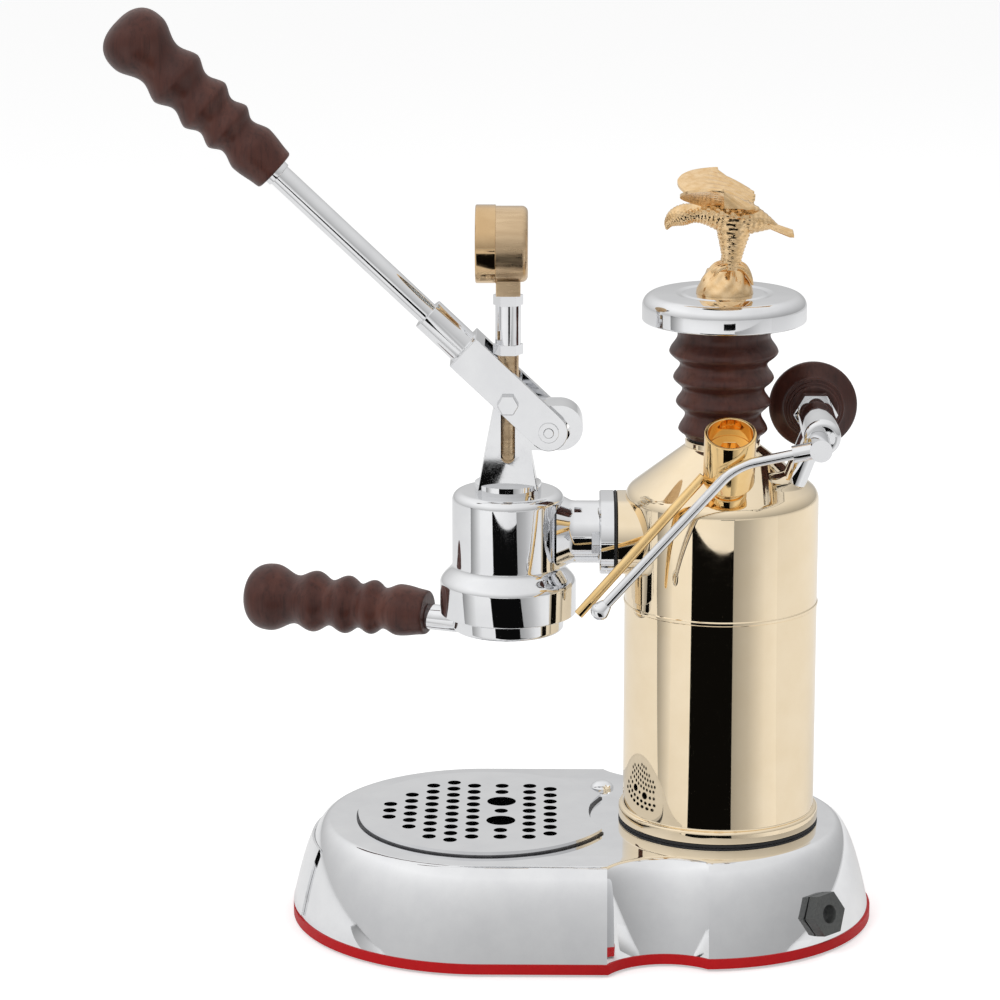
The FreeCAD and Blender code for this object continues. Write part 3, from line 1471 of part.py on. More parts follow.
def relief_pipe():
    start = (s.safety_x - s.safety_tube_radius + s.seat_gap,
             -s.safety_offset - s.relief_rise * sine(s.safety_tilt),
             safety_seat + s.relief_rise * cosine(s.safety_tilt))
    end = (s.relief_end_x, s.relief_end_y, safety_seat - s.relief_drop)
    run = [b - a for a, b in zip(start, end)]
    length = root(run[0] * run[0] + run[1] * run[1] + run[2] * run[2])
    turn = FreeCAD.Rotation(vec(0, 0, 1), vec(*[part.number for part in run]))
    turned("relief_pipe", tube_outline(s.relief_bore, s.relief_radius, 0, length), start, turn)


# Steam valve, knob and wand

valve_at = (s.valve_x, 0, valve_height)
face_far = FreeCAD.Rotation(vec(1, 0, 0), -90)
bonnet_end = s.valve_far + s.bonnet_length
spindle_hole = s.spindle_bore + s.running_fit
wand_reach = (s.safety_offset + s.wand_cross_rise * tangent(s.safety_tilt)
              + s.safety_tube_radius / cosine(s.safety_tilt) + s.wand_radius + s.wand_clearance)
wand_at = (s.swivel_x, -wand_reach, swivel_height)
wand_turn = (vec(0, -1, 0), s.wand_droop)


def steam_valve_stub():
    """The pipe from the boiler's shoulder into the valve's side."""
    start = (s.boiler_x + s.stub_offset * cosine(s.stub_azimuth), s.stub_offset * sine(s.stub_azimuth),
             cone_height(s.stub_offset))
    across = s.valve_x - start[0]
    up = valve_height - start[2]
    length = root(across * across + up * up) - spindle_hole - 2 * s.seat_gap
    turn = FreeCAD.Rotation(vec(0, 0, 1), vec(across.number, 0, up.number))
    turned("steam_valve_stub", tube_outline(s.stub_bore, s.stub_radius, -s.stub_sink, length), start, turn)


def steam_valve_body():
    near, far, edge = -s.valve_near, s.valve_far, s.valve_edge_round
    body = turned("steam_valve_body", [
        (0, near), (s.valve_radius - edge, near), Arc(edge), (s.valve_radius, near + edge), (s.valve_radius, far),
        (spindle_hole, far), (spindle_hole, far - s.valve_bore_depth), (0, far - s.valve_bore_depth)],
        valve_at, face_far)
    add(body, "bonnet", [hexagon(s.bonnet_radius), Ring(0, 0, spindle_hole)], far, bonnet_end)
    outlet = Ring(s.swivel_x - s.valve_x, valve_height - swivel_height, s.swivel_shaft_radius + s.running_fit)
    cut(body, "outlet", [outlet], near - 1, near + s.swivel_shaft_length + s.seat_gap)


knob_start = bonnet_end + s.knob_gap
knob_end = knob_start + s.knob_length


def steam_spindle():
    start = s.valve_far - s.valve_bore_depth + 1
    end = knob_end - s.knob_length / 3
    turned("steam_spindle", [(0, start), (s.spindle_bore, start), (s.spindle_bore, end), (0, end)], valve_at, face_far)


def steam_knob():
    step = s.knob_length / 6
    bore_end = knob_end - s.knob_length / 3 + s.seat_gap
    rim = knob_start + 3 * step
    crown = s.knob_length - 3 * step
    outline = [(spindle_hole, knob_start), (s.knob_neck_radius, knob_start), (s.knob_neck_radius, knob_start + step),
               (s.knob_collar_radius, knob_start + step)]
    outline += wave([(s.knob_collar_radius, knob_start + 1.5 * step), (s.knob_radius, rim)])
    outline += [Arc(crown), (s.knob_radius - crown, knob_end), (0, knob_end), (0, bore_end), (spindle_hole, bore_end)]
    turned("steam_knob", outline, valve_at, face_far)


def wand_swivel():
    body = new_body("wand_swivel", wand_at, wand_turn)
    gap = wand_reach - s.valve_near
    add(body, "shaft", [Ring(0, 0, s.swivel_shaft_radius)], -gap - s.swivel_shaft_length, 0, "XZ_Plane")
    add(body, "barrel", [Ring(0, 0, s.swivel_radius)], s.seat_gap - gap, s.swivel_radius, "XZ_Plane")
    collar_end = s.swivel_radius + s.wand_collar_length
    add(body, "collar", [Ring(0, 0, s.wand_collar_radius)], -collar_end, 0, "YZ_Plane")
    socket = Ring(0, 0, s.wand_radius + s.running_fit)
    cut(body, "socket", [socket], -collar_end - 1, -s.swivel_radius, "YZ_Plane")


def wand_pipe():
    body = new_body("wand_pipe", wand_at, wand_turn)
    start = -s.swivel_radius
    tangent_run = s.wand_bend_radius * tangent(s.wand_turn / 2)
    across = cosine(s.wand_turn)
    down = sine(s.wand_turn)
    path = [(start, 0), (tangent_run - s.wand_first_run, 0), Arc(s.wand_bend_radius),
            (-s.wand_first_run - tangent_run * across, -tangent_run * down),
            (-s.wand_first_run - s.wand_second_run * across, -s.wand_second_run * down)]
    rings = [Ring(0, 0, s.wand_radius), Ring(0, 0, s.wand_bore)]
    sweep(body, "tube", rings, "YZ_Plane", start, path)


def wand_nozzle():
    across = cosine(s.wand_droop + s.wand_turn)
    down = sine(s.wand_droop + s.wand_turn)
    first_x = s.wand_first_run * cosine(s.wand_droop)
    first_z = s.wand_first_run * sine(s.wand_droop)
    at = (s.swivel_x - first_x - s.wand_second_run * across, -wand_reach,
          swivel_height - first_z - s.wand_second_run * down)
    turn = (vec(0, -1, 0), 90 + s.wand_droop + s.wand_turn)
    socket = s.wand_radius + s.running_fit
    ball = s.nozzle_radius
    tip = root(ball * ball - s.wand_bore * s.wand_bore)
    turned("wand_nozzle", [
        (socket, -ball), (socket + s.seat_gap, -ball), (ball, 0), Arc(ball), (s.wand_bore, tip), (s.wand_bore, 0),
        (socket, 0)], at, turn)


# Portafilter

holder_top = channel_top - s.holder_top_gap
holder_turn = (vec(0, 0, -1), s.handle_yaw)


def portafilter_body():
    body = new_body("portafilter_body", group_axis, holder_turn)
    outer, edge = s.holder_radius, s.basket_rim_thickness * 2
    turn_solid(body, "ring", [
        (s.holder_bore, holder_bottom), (outer - edge, holder_bottom), Arc(edge), (outer, holder_bottom + edge),
        (outer, holder_top), (s.holder_bore, holder_top)])
    lug_bottom = lip_top + s.seat_gap
    for name, angle in (("left", 90), ("right", 270)):
        lug = sector(s.holder_radius - 1, s.lug_radius, dim(angle), s.lug_angle)
        add(body, f"lug_{name}", [lug], lug_bottom, holder_top)
    neck = Ring(0, handle_neck_height, s.handle_radius)
    add(body, "neck", [neck], -s.handle_reach, -s.holder_bore - 1, "YZ_Plane")
    tang = Ring(0, handle_height, s.tang_radius)
    add(body, "tang", [tang], -s.handle_reach - s.tang_length, 1 - s.handle_reach, "YZ_Plane")


def filter_basket():
    outer = s.holder_bore - s.basket_play
    inner = outer - s.basket_wall
    bottom = holder_top - s.basket_depth
    rim_top = holder_top + s.basket_rim_thickness
    body = turned("filter_basket", [
        (0, bottom), (outer, bottom), (outer, holder_top), (s.basket_rim, holder_top), (s.basket_rim, rim_top),
        (inner, rim_top), (inner, bottom + s.basket_wall), (0, bottom + s.basket_wall)], group_axis, holder_turn)
    holes = hole_rings(s.basket_hole_radius, inner / 5, 4)
    cut(body, "holes", holes, bottom - 1, bottom + s.basket_wall + 1)


def portafilter_grip():
    handle = FreeCAD.Rotation(vec(0, 0, 1), vec(-cosine(s.handle_yaw).number, sine(s.handle_yaw).number, 0))
    at = (s.group_x, 0, handle_height)
    turned_grip("portafilter_grip", s.handle_reach, s.portafilter_grip_length, at, handle)


builders = [
    base_shell, base_trim, base_plate, rubber_feet, plate_screws, front_plate, cord_gland, switch_frame,
    switch_rocker, pilot_lamp, pressure_switch, drip_tray, drip_grille, boiler_shell, boiler_gasket,
    boiler_lock_ring, heating_element, sight_glass_tube, sight_glass_fittings, flange_gasket, flange_bolts,
    group_body, piston_sleeve, shower_screen, group_seal, rod_bush, group_yoke, piston_rod, piston_head,
    piston_seals, lever_fork, lever_rod, rod_pin, fulcrum_pin, gauge_stem, gauge_case, gauge_dial,
    gauge_bezel, gauge_glass, gauge_needle, cap_gasket, cap_plug, cap_grip, cap_plate,
    cap_finial, safety_valve_body, safety_valve_screw, safety_valve_spring, relief_pipe, steam_valve_stub,
    steam_valve_body, steam_spindle, steam_knob, wand_swivel, wand_pipe, wand_nozzle, portafilter_body,
    filter_basket, portafilter_grip,
]
for build in builders:
    build()
turned_grip("lever_grip", s.grip_start, s.grip_length, fulcrum, rod_turn)
doc.recompute()

# Nodes that hold several loose solids
solid_counts = {"rubber_feet": 5, "plate_screws": 4, "flange_bolts": 2, "piston_seals": 2, "fulcrum_pin": 4,
                "sight_glass_fittings": 2}

faults = []
for item in doc.Objects:
    if "Invalid" in item.State or "Error" in item.State:
        faults.append(f"{item.Label}: {item.State}")
    if item.TypeId in ("PartDesign::Pocket", "PartDesign::Groove", "PartDesign::SubtractiveLoft"):
        if item.Shape.isNull() or item.Shape.Volume > item.BaseFeature.Shape.Volume - 0.1:
            faults.append(f"{item.Label}: cuts nothing")
for node in nodes:
    if node.Shape.isNull() or not node.Shape.isValid():
        faults.append(f"{node.Label}: no valid shape")
    elif len(node.Shape.Solids) != solid_counts.get(node.Label, 1):
        faults.append(f"{node.Label}: {len(node.Shape.Solids)} solids")
if faults:
    raise RuntimeError("; ".join(faults))

for node in nodes:
    node.Shape.exportStep(f"parts/{node.Label}.step")
print(len(nodes), "parts written")
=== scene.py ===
import json
import math

import bmesh
import bpy
import numpy as np
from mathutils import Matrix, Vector
from mathutils.geometry import tessellate_polygon

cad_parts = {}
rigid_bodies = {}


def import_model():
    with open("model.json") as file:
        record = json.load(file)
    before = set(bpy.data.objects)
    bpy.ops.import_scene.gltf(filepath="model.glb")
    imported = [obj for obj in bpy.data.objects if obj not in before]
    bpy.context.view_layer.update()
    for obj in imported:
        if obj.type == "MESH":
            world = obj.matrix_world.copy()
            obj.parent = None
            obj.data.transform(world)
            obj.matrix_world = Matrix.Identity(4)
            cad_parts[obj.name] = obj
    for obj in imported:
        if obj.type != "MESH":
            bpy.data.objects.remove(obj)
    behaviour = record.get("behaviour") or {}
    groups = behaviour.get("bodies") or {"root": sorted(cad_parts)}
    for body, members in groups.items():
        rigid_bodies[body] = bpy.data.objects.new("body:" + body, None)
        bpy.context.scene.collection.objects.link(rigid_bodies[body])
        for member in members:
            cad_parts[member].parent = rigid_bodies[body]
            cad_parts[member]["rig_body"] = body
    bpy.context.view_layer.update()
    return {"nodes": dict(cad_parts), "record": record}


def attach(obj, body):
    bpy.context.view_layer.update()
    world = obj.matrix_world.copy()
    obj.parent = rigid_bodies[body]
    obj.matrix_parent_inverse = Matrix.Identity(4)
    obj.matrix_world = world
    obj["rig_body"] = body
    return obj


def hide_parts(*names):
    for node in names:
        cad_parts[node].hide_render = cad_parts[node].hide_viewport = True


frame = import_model()
nodes = frame["nodes"]
mm = 0.001  # the sizes below are in millimetres, the meshes in metres
print("frame loaded:", len(nodes), "nodes")


# materials

noiseSpan = (0.3, 0.7)  # where nearly all of a noise's values lie
cloudSpan = (0.35, 0.65)  # the part of it over which a two-colour cloud fades


def startMaterial(name):
    mat = bpy.data.materials.new(name)
    mat.use_nodes = True
    tree = mat.node_tree
    shader = tree.nodes["Principled BSDF"]
    return mat, tree, shader


def objectNoise(tree, scale, stretch=(1, 1, 1), turn=(0, 0, 0), detail=6.0, rough=0.6):
    # noise in object space, in waves per metre, stretched along one axis if asked
    coord = tree.nodes.new("ShaderNodeTexCoord")
    place = tree.nodes.new("ShaderNodeMapping")
    place.inputs["Scale"].default_value = stretch
    place.inputs["Rotation"].default_value = turn
    noise = tree.nodes.new("ShaderNodeTexNoise")
    noise.inputs["Scale"].default_value = scale
    noise.inputs["Detail"].default_value = detail
    noise.inputs["Roughness"].default_value = rough
    tree.links.new(coord.outputs["Object"], place.inputs["Vector"])
    tree.links.new(place.outputs["Vector"], noise.inputs["Vector"])
    return noise.outputs["Fac"]


def ramp(tree, value, stops):
    node = tree.nodes.new("ShaderNodeValToRGB")
    node.color_ramp.elements[0].position = stops[0][0]
    node.color_ramp.elements[0].color = (*stops[0][1], 1)
    node.color_ramp.elements[1].position = stops[-1][0]
    node.color_ramp.elements[1].color = (*stops[-1][1], 1)
    for position, colour in stops[1:-1]:
        node.color_ramp.elements.new(position).color = (*colour, 1)
    tree.links.new(value, node.inputs["Fac"])
    return node.outputs["Color"]


def spread(tree, value, low, high):
    node = tree.nodes.new("ShaderNodeMapRange")
    node.inputs["From Min"].default_value = noiseSpan[0]
    node.inputs["From Max"].default_value = noiseSpan[1]
    node.inputs["To Min"].default_value = low
    node.inputs["To Max"].default_value = high
    tree.links.new(value, node.inputs["Value"])
    return node.outputs["Result"]


def bumpFrom(tree, shader, value, strength, distance):
    node = tree.nodes.new("ShaderNodeBump")
    node.inputs["Strength"].default_value = strength
    node.inputs["Distance"].default_value = distance
    tree.links.new(value, node.inputs["Height"])
    tree.links.new(node.outputs["Normal"], shader.inputs["Normal"])


def cloudColour(tree, shader, cloud, dull, bright):
    stops = [(cloudSpan[0], dull), (cloudSpan[1], bright)]
    tree.links.new(ramp(tree, cloud, stops), shader.inputs["Base Color"])


def metalFinish(name, bright, dull, rough, scale=60.0, stretch=(1, 1, 1), bump=0.0):
    # a faint cloud of two tones, with finer smudges in the polish
    mat, tree, shader = startMaterial(name)
    cloudColour(tree, shader, objectNoise(tree, scale, stretch), dull, bright)
    smudge = objectNoise(tree, scale * 2.7, stretch, detail=8.0)
    tree.links.new(spread(tree, smudge, *rough), shader.inputs["Roughness"])
    shader.inputs["Metallic"].default_value = 1.0
    if bump:
        bumpFrom(tree, shader, smudge, bump, 0.0002)
    return mat


woodLook = {
    "grainScale": 420.0, "grainStretch": (1, 1, 0.06), "flameScale": 70.0, "flameStretch": (1, 1, 0.16),
    "flame": [(0.3, (0.046, 0.013, 0.009)), (0.52, (0.072, 0.021, 0.014)), (0.72, (0.108, 0.036, 0.024))],
    "lines": [(0.34, (0.42, 0.36, 0.34)), (0.5, (0.92, 0.9, 0.9)), (0.7, (1.1, 1.05, 1.0))],
    "lineShare": 0.75, "rough": (0.44, 0.30), "gloss": 0.4, "bump": 0.14, "bumpDeep": 0.0003,
}


def woodFinish(name, turn):
    # fine dark grain that runs along the turned piece's own axis
    w = woodLook
    mat, tree, shader = startMaterial(name)
    grain = objectNoise(tree, w["grainScale"], w["grainStretch"], turn, detail=9.0, rough=0.68)
    flame = objectNoise(tree, w["flameScale"], w["flameStretch"], turn, detail=4.0)
    blend = tree.nodes.new("ShaderNodeMix")
    blend.data_type = "RGBA"
    blend.blend_type = "MULTIPLY"
    blend.inputs["Factor"].default_value = w["lineShare"]
    tree.links.new(ramp(tree, flame, w["flame"]), blend.inputs["A"])
    tree.links.new(ramp(tree, grain, w["lines"]), blend.inputs["B"])
    tree.links.new(blend.outputs["Result"], shader.inputs["Base Color"])
    tree.links.new(spread(tree, grain, *w["rough"]), shader.inputs["Roughness"])
    shader.inputs["Specular IOR Level"].default_value = w["gloss"]
    bumpFrom(tree, shader, grain, w["bump"], w["bumpDeep"])
    return mat


def paintFinish(name, colour, dull, rough, scale=300.0, bump=0.0, coat=0.0, gloss=0.5):
    mat, tree, shader = startMaterial(name)
    cloud = objectNoise(tree, scale)
    cloudColour(tree, shader, cloud, dull, colour)
    tree.links.new(spread(tree, cloud, *rough), shader.inputs["Roughness"])
    shader.inputs["Coat Weight"].default_value = coat
    shader.inputs["Specular IOR Level"].default_value = gloss
    if bump:
        bumpFrom(tree, shader, cloud, bump, 0.0003)
    return mat


def glassFinish(name, clear, hazy, rough, bending):
    mat, tree, shader = startMaterial(name)
    haze = objectNoise(tree, 90.0)
    tree.links.new(spread(tree, haze, *rough), shader.inputs["Roughness"])
    tint = ramp(tree, haze, [(noiseSpan[0], hazy), (noiseSpan[1], clear)])
    tree.links.new(tint, shader.inputs["Base Color"])
    shader.inputs["Transmission Weight"].default_value = 1.0
    shader.inputs["IOR"].default_value = bending
    return mat


# metals: bright tone, dull tone, least and most roughness
chrome = metalFinish("polishedChrome", (0.86, 0.865, 0.875), (0.81, 0.815, 0.83), (0.015, 0.05))
boilerGold = metalFinish("paleGoldPlate", (0.95, 0.80, 0.58), (0.92, 0.765, 0.54), (0.015, 0.05))
deepGold = metalFinish("deepGoldPlate", (0.95, 0.68, 0.33), (0.90, 0.61, 0.27), (0.03, 0.09), scale=90.0)
castGold = metalFinish("castGold", (0.93, 0.68, 0.40), (0.80, 0.53, 0.26), (0.09, 0.22), scale=260.0,
                       bump=0.3)
brushedBrass = metalFinish("brushedBrass", (0.76, 0.57, 0.36), (0.60, 0.43, 0.26), (0.22, 0.40), scale=240.0,
                           stretch=(0.12, 1, 1), bump=0.12)
gaugeBrass = metalFinish("gaugeBrass", (0.74, 0.52, 0.29), (0.66, 0.45, 0.24), (0.06, 0.14), scale=90.0)
satinSteel = metalFinish("satinSteel", (0.66, 0.67, 0.69), (0.56, 0.57, 0.59), (0.20, 0.34), scale=180.0,
                         stretch=(1, 1, 0.2), bump=0.05)
# near-black steel for the drip tray: painted shade, standing in for the unlit inside of the tray and the dark
# gap round the grille
paintedShadeSteel = metalFinish("paintedShadeSteel", (0.10, 0.10, 0.105), (0.06, 0.06, 0.065), (0.35, 0.5), scale=120.0)
sheetZinc = metalFinish("sheetZinc", (0.62, 0.62, 0.62), (0.5, 0.5, 0.51), (0.35, 0.5), scale=120.0)

# paint, rubber, plastic, enamel: colour, dull tone, least and most roughness
redBand = paintFinish("redBand", (0.52, 0.010, 0.013), (0.49, 0.008, 0.011), (0.4, 0.5), scale=200.0,
                      gloss=0.15)
blackRubber = paintFinish("blackRubber", (0.022, 0.022, 0.024), (0.012, 0.012, 0.013), (0.55, 0.75),
                          scale=700.0, bump=0.1)
greyPlastic = paintFinish("greyPlastic", (0.085, 0.088, 0.085), (0.055, 0.058, 0.056), (0.35, 0.5),
                          scale=800.0, bump=0.08)
blackPlastic = paintFinish("blackPlastic", (0.025, 0.025, 0.027), (0.015, 0.015, 0.016), (0.18, 0.3),
                           scale=500.0, coat=0.2)
dialEnamel = paintFinish("dialEnamel", (0.86, 0.85, 0.80), (0.80, 0.79, 0.73), (0.3, 0.42))
clearGlass = glassFinish("clearGlass", (1, 1, 1), (0.94, 0.97, 0.97), (0.01, 0.04), 1.45)

leverTilt = math.radians(43.6)  # the lever's lift from level
handleYaw = math.radians(20)  # the portafilter handle's turn towards the far side
quarter = math.radians(90)
woodUp = woodFinish("darkWoodUpright", (0, 0, 0))
woodLever = woodFinish("darkWoodLever", (0, quarter - leverTilt, 0))
woodHandle = woodFinish("darkWoodHandle", (0, quarter, handleYaw))
woodKnob = woodFinish("darkWoodKnob", (quarter, 0, 0))

slotFinish = {
    "chrome": chrome, "boiler_brass": boilerGold, "gold_brass": deepGold, "gauge_brass": brushedBrass,
    "steel": satinSteel, "wood": woodUp, "red_trim": redBand, "black_rubber": blackRubber,
    "grey_plastic": greyPlastic, "black_plastic": blackPlastic, "dial_white": dialEnamel,
    "glass": clearGlass, "zinc": sheetZinc,
}
nodeSlot = {entry["node"]: entry["material_slot"] for entry in frame["record"]["subparts"]}
for nodeName, obj in nodes.items():
    obj.data.materials.clear()
    obj.data.materials.append(slotFinish[nodeSlot[nodeName]])
print("finishes set on the CAD nodes")


# mesh tools

mergeGap = 2e-6  # metres; points nearer than this are one


def addMesh(name, verts, faces, finish, stands, sharp=35.0, body=None):
    # verts in millimetres; the piece rides on the body of the first node that it stands for
    mesh = bpy.data.meshes.new(name)
    mesh.from_pydata((np.asarray(verts, float).reshape(-1, 3) * mm).tolist(), [],
                     faces if isinstance(faces, list) else faces.tolist())
    tidyMesh(mesh, sharp)
    return placeMesh(name, mesh, finish, stands, body)


def tidyMesh(mesh, sharp):
    work = bmesh.new()
    work.from_mesh(mesh)
    bmesh.ops.remove_doubles(work, verts=work.verts, dist=mergeGap)
    bmesh.ops.dissolve_degenerate(work, edges=work.edges, dist=mergeGap / 2)
    bmesh.ops.recalc_face_normals(work, faces=work.faces)
    work.to_mesh(mesh)
    work.free()
    mesh.shade_smooth()
    mesh.set_sharp_from_angle(angle=math.radians(sharp))
    # open edges stay crisp when a wall is given to the sheet
    edgeOf = np.empty(len(mesh.loops), int)
    crisp = np.empty(len(mesh.edges), bool)
    mesh.loops.foreach_get("edge_index", edgeOf)
    mesh.edges.foreach_get("use_edge_sharp", crisp)
    isOpen = np.bincount(edgeOf, minlength=len(crisp)) == 1
    mesh.edges.foreach_set("use_edge_sharp", crisp | isOpen)


def placeMesh(name, mesh, finish, stands, body=None):
    obj = bpy.data.objects.new(name, mesh)
    bpy.context.scene.collection.objects.link(obj)
    mesh.materials.clear()
    mesh.materials.append(finish)
    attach(obj, body or nodes[stands[0]]["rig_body"])
    if stands:
        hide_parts(*stands)
    return obj


def gridFaces(rows, cols, closeRows, closeCols):
    r = np.arange(rows if closeRows else rows - 1)
    c = np.arange(cols if closeCols else cols - 1)
    r, c = np.meshgrid(r, c, indexing="ij")
    r1, c1 = (r + 1) % rows, (c + 1) % cols
    return np.stack([r * cols + c, r * cols + c1, r1 * cols + c1, r1 * cols + c], axis=-1).reshape(-1, 4)


def tubeFaces(rows, cols, start=0):
    # quads round a tube, then one flat face at each end
    loop = np.arange(cols) + start
    quads = gridFaces(rows, cols, False, True) + start
    return quads.tolist() + [loop.tolist(), (loop + (rows - 1) * cols).tolist()]


def sheetFaces(rows, cols, start):
    # quads over all rows of a folded sheet and round the fold, then a strip along each side
    k = np.arange(rows // 2 - 1)
    strip = np.stack([k, k + 1, rows - 2 - k, rows - 1 - k], 1) * cols
    return (np.concatenate([gridFaces(rows, cols, True, False), strip, strip + cols - 1]) + start).tolist()


def fullTurn(count):
    return np.linspace(0, 2 * np.pi, count, endpoint=False)


def arc(x, y, radius, first, last, count):
    # points on the circle about (x, y), from one turn to another
    turn = np.linspace(first, last, count)
    return np.stack([x + radius * np.cos(turn), y + radius * np.sin(turn)], 1)


def unit(way):
    return np.asarray(way, float) / np.linalg.norm(way)


def roundProfile(points, closed=False, steps=7):
    # each point is (radius, height) or (radius, height, corner round); rounds become arcs
    pts = [(p[0], p[1], p[2] if len(p) > 2 else 0.0) for p in points]
    out = []
    for k, (x, y, bend) in enumerate(pts):
        here = np.array([x, y], float)
        ends = not closed and k in (0, len(pts) - 1)
        if bend <= 0 or ends:
            out.append(here[None])
            continue
        before = unit(np.array(pts[k - 1][:2]) - here)
        after = unit(np.array(pts[(k + 1) % len(pts)][:2]) - here)
        half = 0.5 * math.acos(np.clip(before @ after, -1, 1))
        run = bend / math.tan(half)
        middle = here + unit(before + after) * (bend / math.sin(half))
        a = here + before * run - middle
        b = here + after * run - middle
        t = np.linspace(0, 1, steps)[:, None]
        angle = math.acos(np.clip(a @ b / bend ** 2, -1, 1))
        out.append(middle + (np.sin((1 - t) * angle) * a + np.sin(t * angle) * b) / math.sin(angle))
    return np.concatenate(out)


def waveProfile(extremes, steps=14, point=0.0):
    # radius eased from one extreme to the next; point sharpens the crests and widens the hollows
    parts = []
    t = np.linspace(0, 1, steps, endpoint=False)
    smooth = (1 - np.cos(np.pi * t)) / 2
    for (r0, z0), (r1, z1) in zip(extremes, extremes[1:]):
        keen = 1 - np.cos(np.pi * t / 2) if r1 > r0 else np.sin(np.pi * t / 2)
        ease = smooth + point * (keen - smooth)
        parts.append(np.stack([r0 + (r1 - r0) * ease, z0 + (z1 - z0) * t], axis=1))
    parts.append(np.array([extremes[-1]], float))
    return np.concatenate(parts)


def turnTo(points, towards):
    turn = np.array(Vector((0, 0, 1)).rotation_difference(Vector(towards)).to_matrix())
    return points @ turn.T


def lathe(name, profile, finish, stands, at=(0, 0, 0), towards=(0, 0, 1), ring=False, around=160,
          body=None):
    # the profile's (radius, height) points turned about an axis through at
    profile = np.asarray(profile, float)
    turn = fullTurn(around)
    radius, height = profile[:, 0][:, None], profile[:, 1][:, None]
    grid = np.stack([radius * np.cos(turn), radius * np.sin(turn), height + 0 * turn], axis=-1)
    verts = turnTo(grid.reshape(-1, 3), towards) + np.asarray(at, float)
    faces = gridFaces(len(profile), around, ring, True)
    return addMesh(name, verts, faces, finish, stands, body=body)


def pipeAlong(name, path, radius, bore, finish, stands, around=40):
    # a round tube round a path that lies in an upright plane along X, open at both ends
    along = np.gradient(path, axis=0)
    along /= np.linalg.norm(along, axis=1)[:, None]
    side = np.array([0.0, 1.0, 0.0])
    up = np.cross(along, side)
    turn = fullTurn(around)[None, :, None]

    def skin(r, rows):
        return path[rows, None] + r * (np.cos(turn) * side + np.sin(turn) * up[rows, None])

    rows = np.arange(len(path))
    grid = np.concatenate([skin(radius, rows), skin(bore, rows[::-1])])
    return addMesh(name, grid, gridFaces(len(grid), around, True, True), finish, stands)


def straightPipe(name, start, end, radius, bore, finish, stands, soft=0.3):
    length = np.linalg.norm(end - start)
    corners = [(bore, 0), (radius, 0, soft), (radius, length, soft), (bore, length, soft)]
    profile = roundProfile(corners, True, 4)
    return lathe(name, profile, finish, stands, start, (end - start) / length, ring=True, around=56)


def smoothCopy(nodeName, finish, bevel=0.0, sharp=32.0):
    # a merged copy of a flat-sided CAD node, with its edges just broken
    mesh = nodes[nodeName].data.copy()
    work = bmesh.new()
    work.from_mesh(mesh)
    bmesh.ops.remove_doubles(work, verts=work.verts, dist=mergeGap)
    bmesh.ops.dissolve_limit(work, angle_limit=math.radians(0.6), verts=work.verts, edges=work.edges)
    work.to_mesh(mesh)
    work.free()
    tidyMesh(mesh, sharp)
    obj = placeMesh(nodeName + "_finished", mesh, finish, [nodeName])
    if bevel:
        edge = obj.modifiers.new("edge", "BEVEL")
        edge.width = bevel * mm
        edge.segments = 2
        edge.limit_method = "ANGLE"
        edge.angle_limit = math.radians(40)
        edge.use_clamp_overlap = True
        edge.harden_normals = True


# upright axes of the boiler and of the group
boilerX = 68.7
groupX = -37.0


# base: a twin-round shell whose wall leans in along a parabola

base = {"frontX": -49.0, "frontR": 95.5, "rearX": 58.0, "rearR": 87.0, "waistX": 40.7, "waistY": 113.9,
        "waistR": 34.1, "low": 6.5, "high": 50.5, "lean": 18.0, "wall": 1.4}
tray = {"x": -48.0, "radius": 64.5, "notch": 65.0, "lip": 2.0}


def footprint(lean):
    # closed outline where the wall leans in by lean: nose, flat side, waist and heel, then their mirror;
    # the waist keeps its radius and only moves inwards
    b = base
    front, rear, waist, waistY = b["frontR"] - lean, b["rearR"] - lean, b["waistR"], b["waistY"] - lean
    cornerX = b["waistX"] - math.sqrt(waist ** 2 - (waistY - front) ** 2)
    # the crease is where the waist's circle meets the rear round
    gap = np.array([b["waistX"] - b["rearX"], waistY])
    span = gap @ gap
    share = (rear ** 2 - waist ** 2 + span) / (2 * span)
    off = math.sqrt(rear ** 2 / span - share ** 2)
    crease = np.array([b["rearX"] + share * gap[0] + off * gap[1], share * gap[1] - off * gap[0]])
    nose = arc(b["frontX"], 0, front, np.pi, 1.5 * np.pi, 60)
    flatX = np.linspace(b["frontX"], cornerX, 18)[1:-1]
    flat = np.stack([flatX, np.full(len(flatX), -front)], 1)
    first = math.atan2(waistY - front, cornerX - b["waistX"]) % (2 * math.pi)
    last = math.atan2(waistY - crease[1], crease[0] - b["waistX"])
    dip = arc(b["waistX"], -waistY, waist, first, last, 30)
    heel = arc(b["rearX"], 0, rear, math.atan2(-crease[1], crease[0] - b["rearX"]), 0, 50)[1:]
    near = np.concatenate([nose, flat, dip, heel])
    far = near[1:-1][::-1] * [1, -1]
    return np.concatenate([near, far])


def trayOutline(inset):
    # the tray's round outline with the boiler's notch at the rear, both drawn in by inset
    radius, notch, span = tray["radius"] - inset, tray["notch"] + inset, boilerX - tray["x"]
    reach = (radius ** 2 - notch ** 2 + span ** 2) / (2 * span)
    half = math.sqrt(radius ** 2 - reach ** 2)
    corner = math.atan2(half, reach)
    rim = arc(tray["x"], 0, radius, corner, 2 * np.pi - corner, 150)
    back = math.atan2(-half, reach - span)
    scoop = arc(boilerX, 0, notch, back % (2 * np.pi), (2 * np.pi - back) % (2 * np.pi), 60)[1:-1]
    return np.concatenate([rim, scoop])


def withHeight(outline, height):
    return np.column_stack([outline, np.full(len(outline), height)])


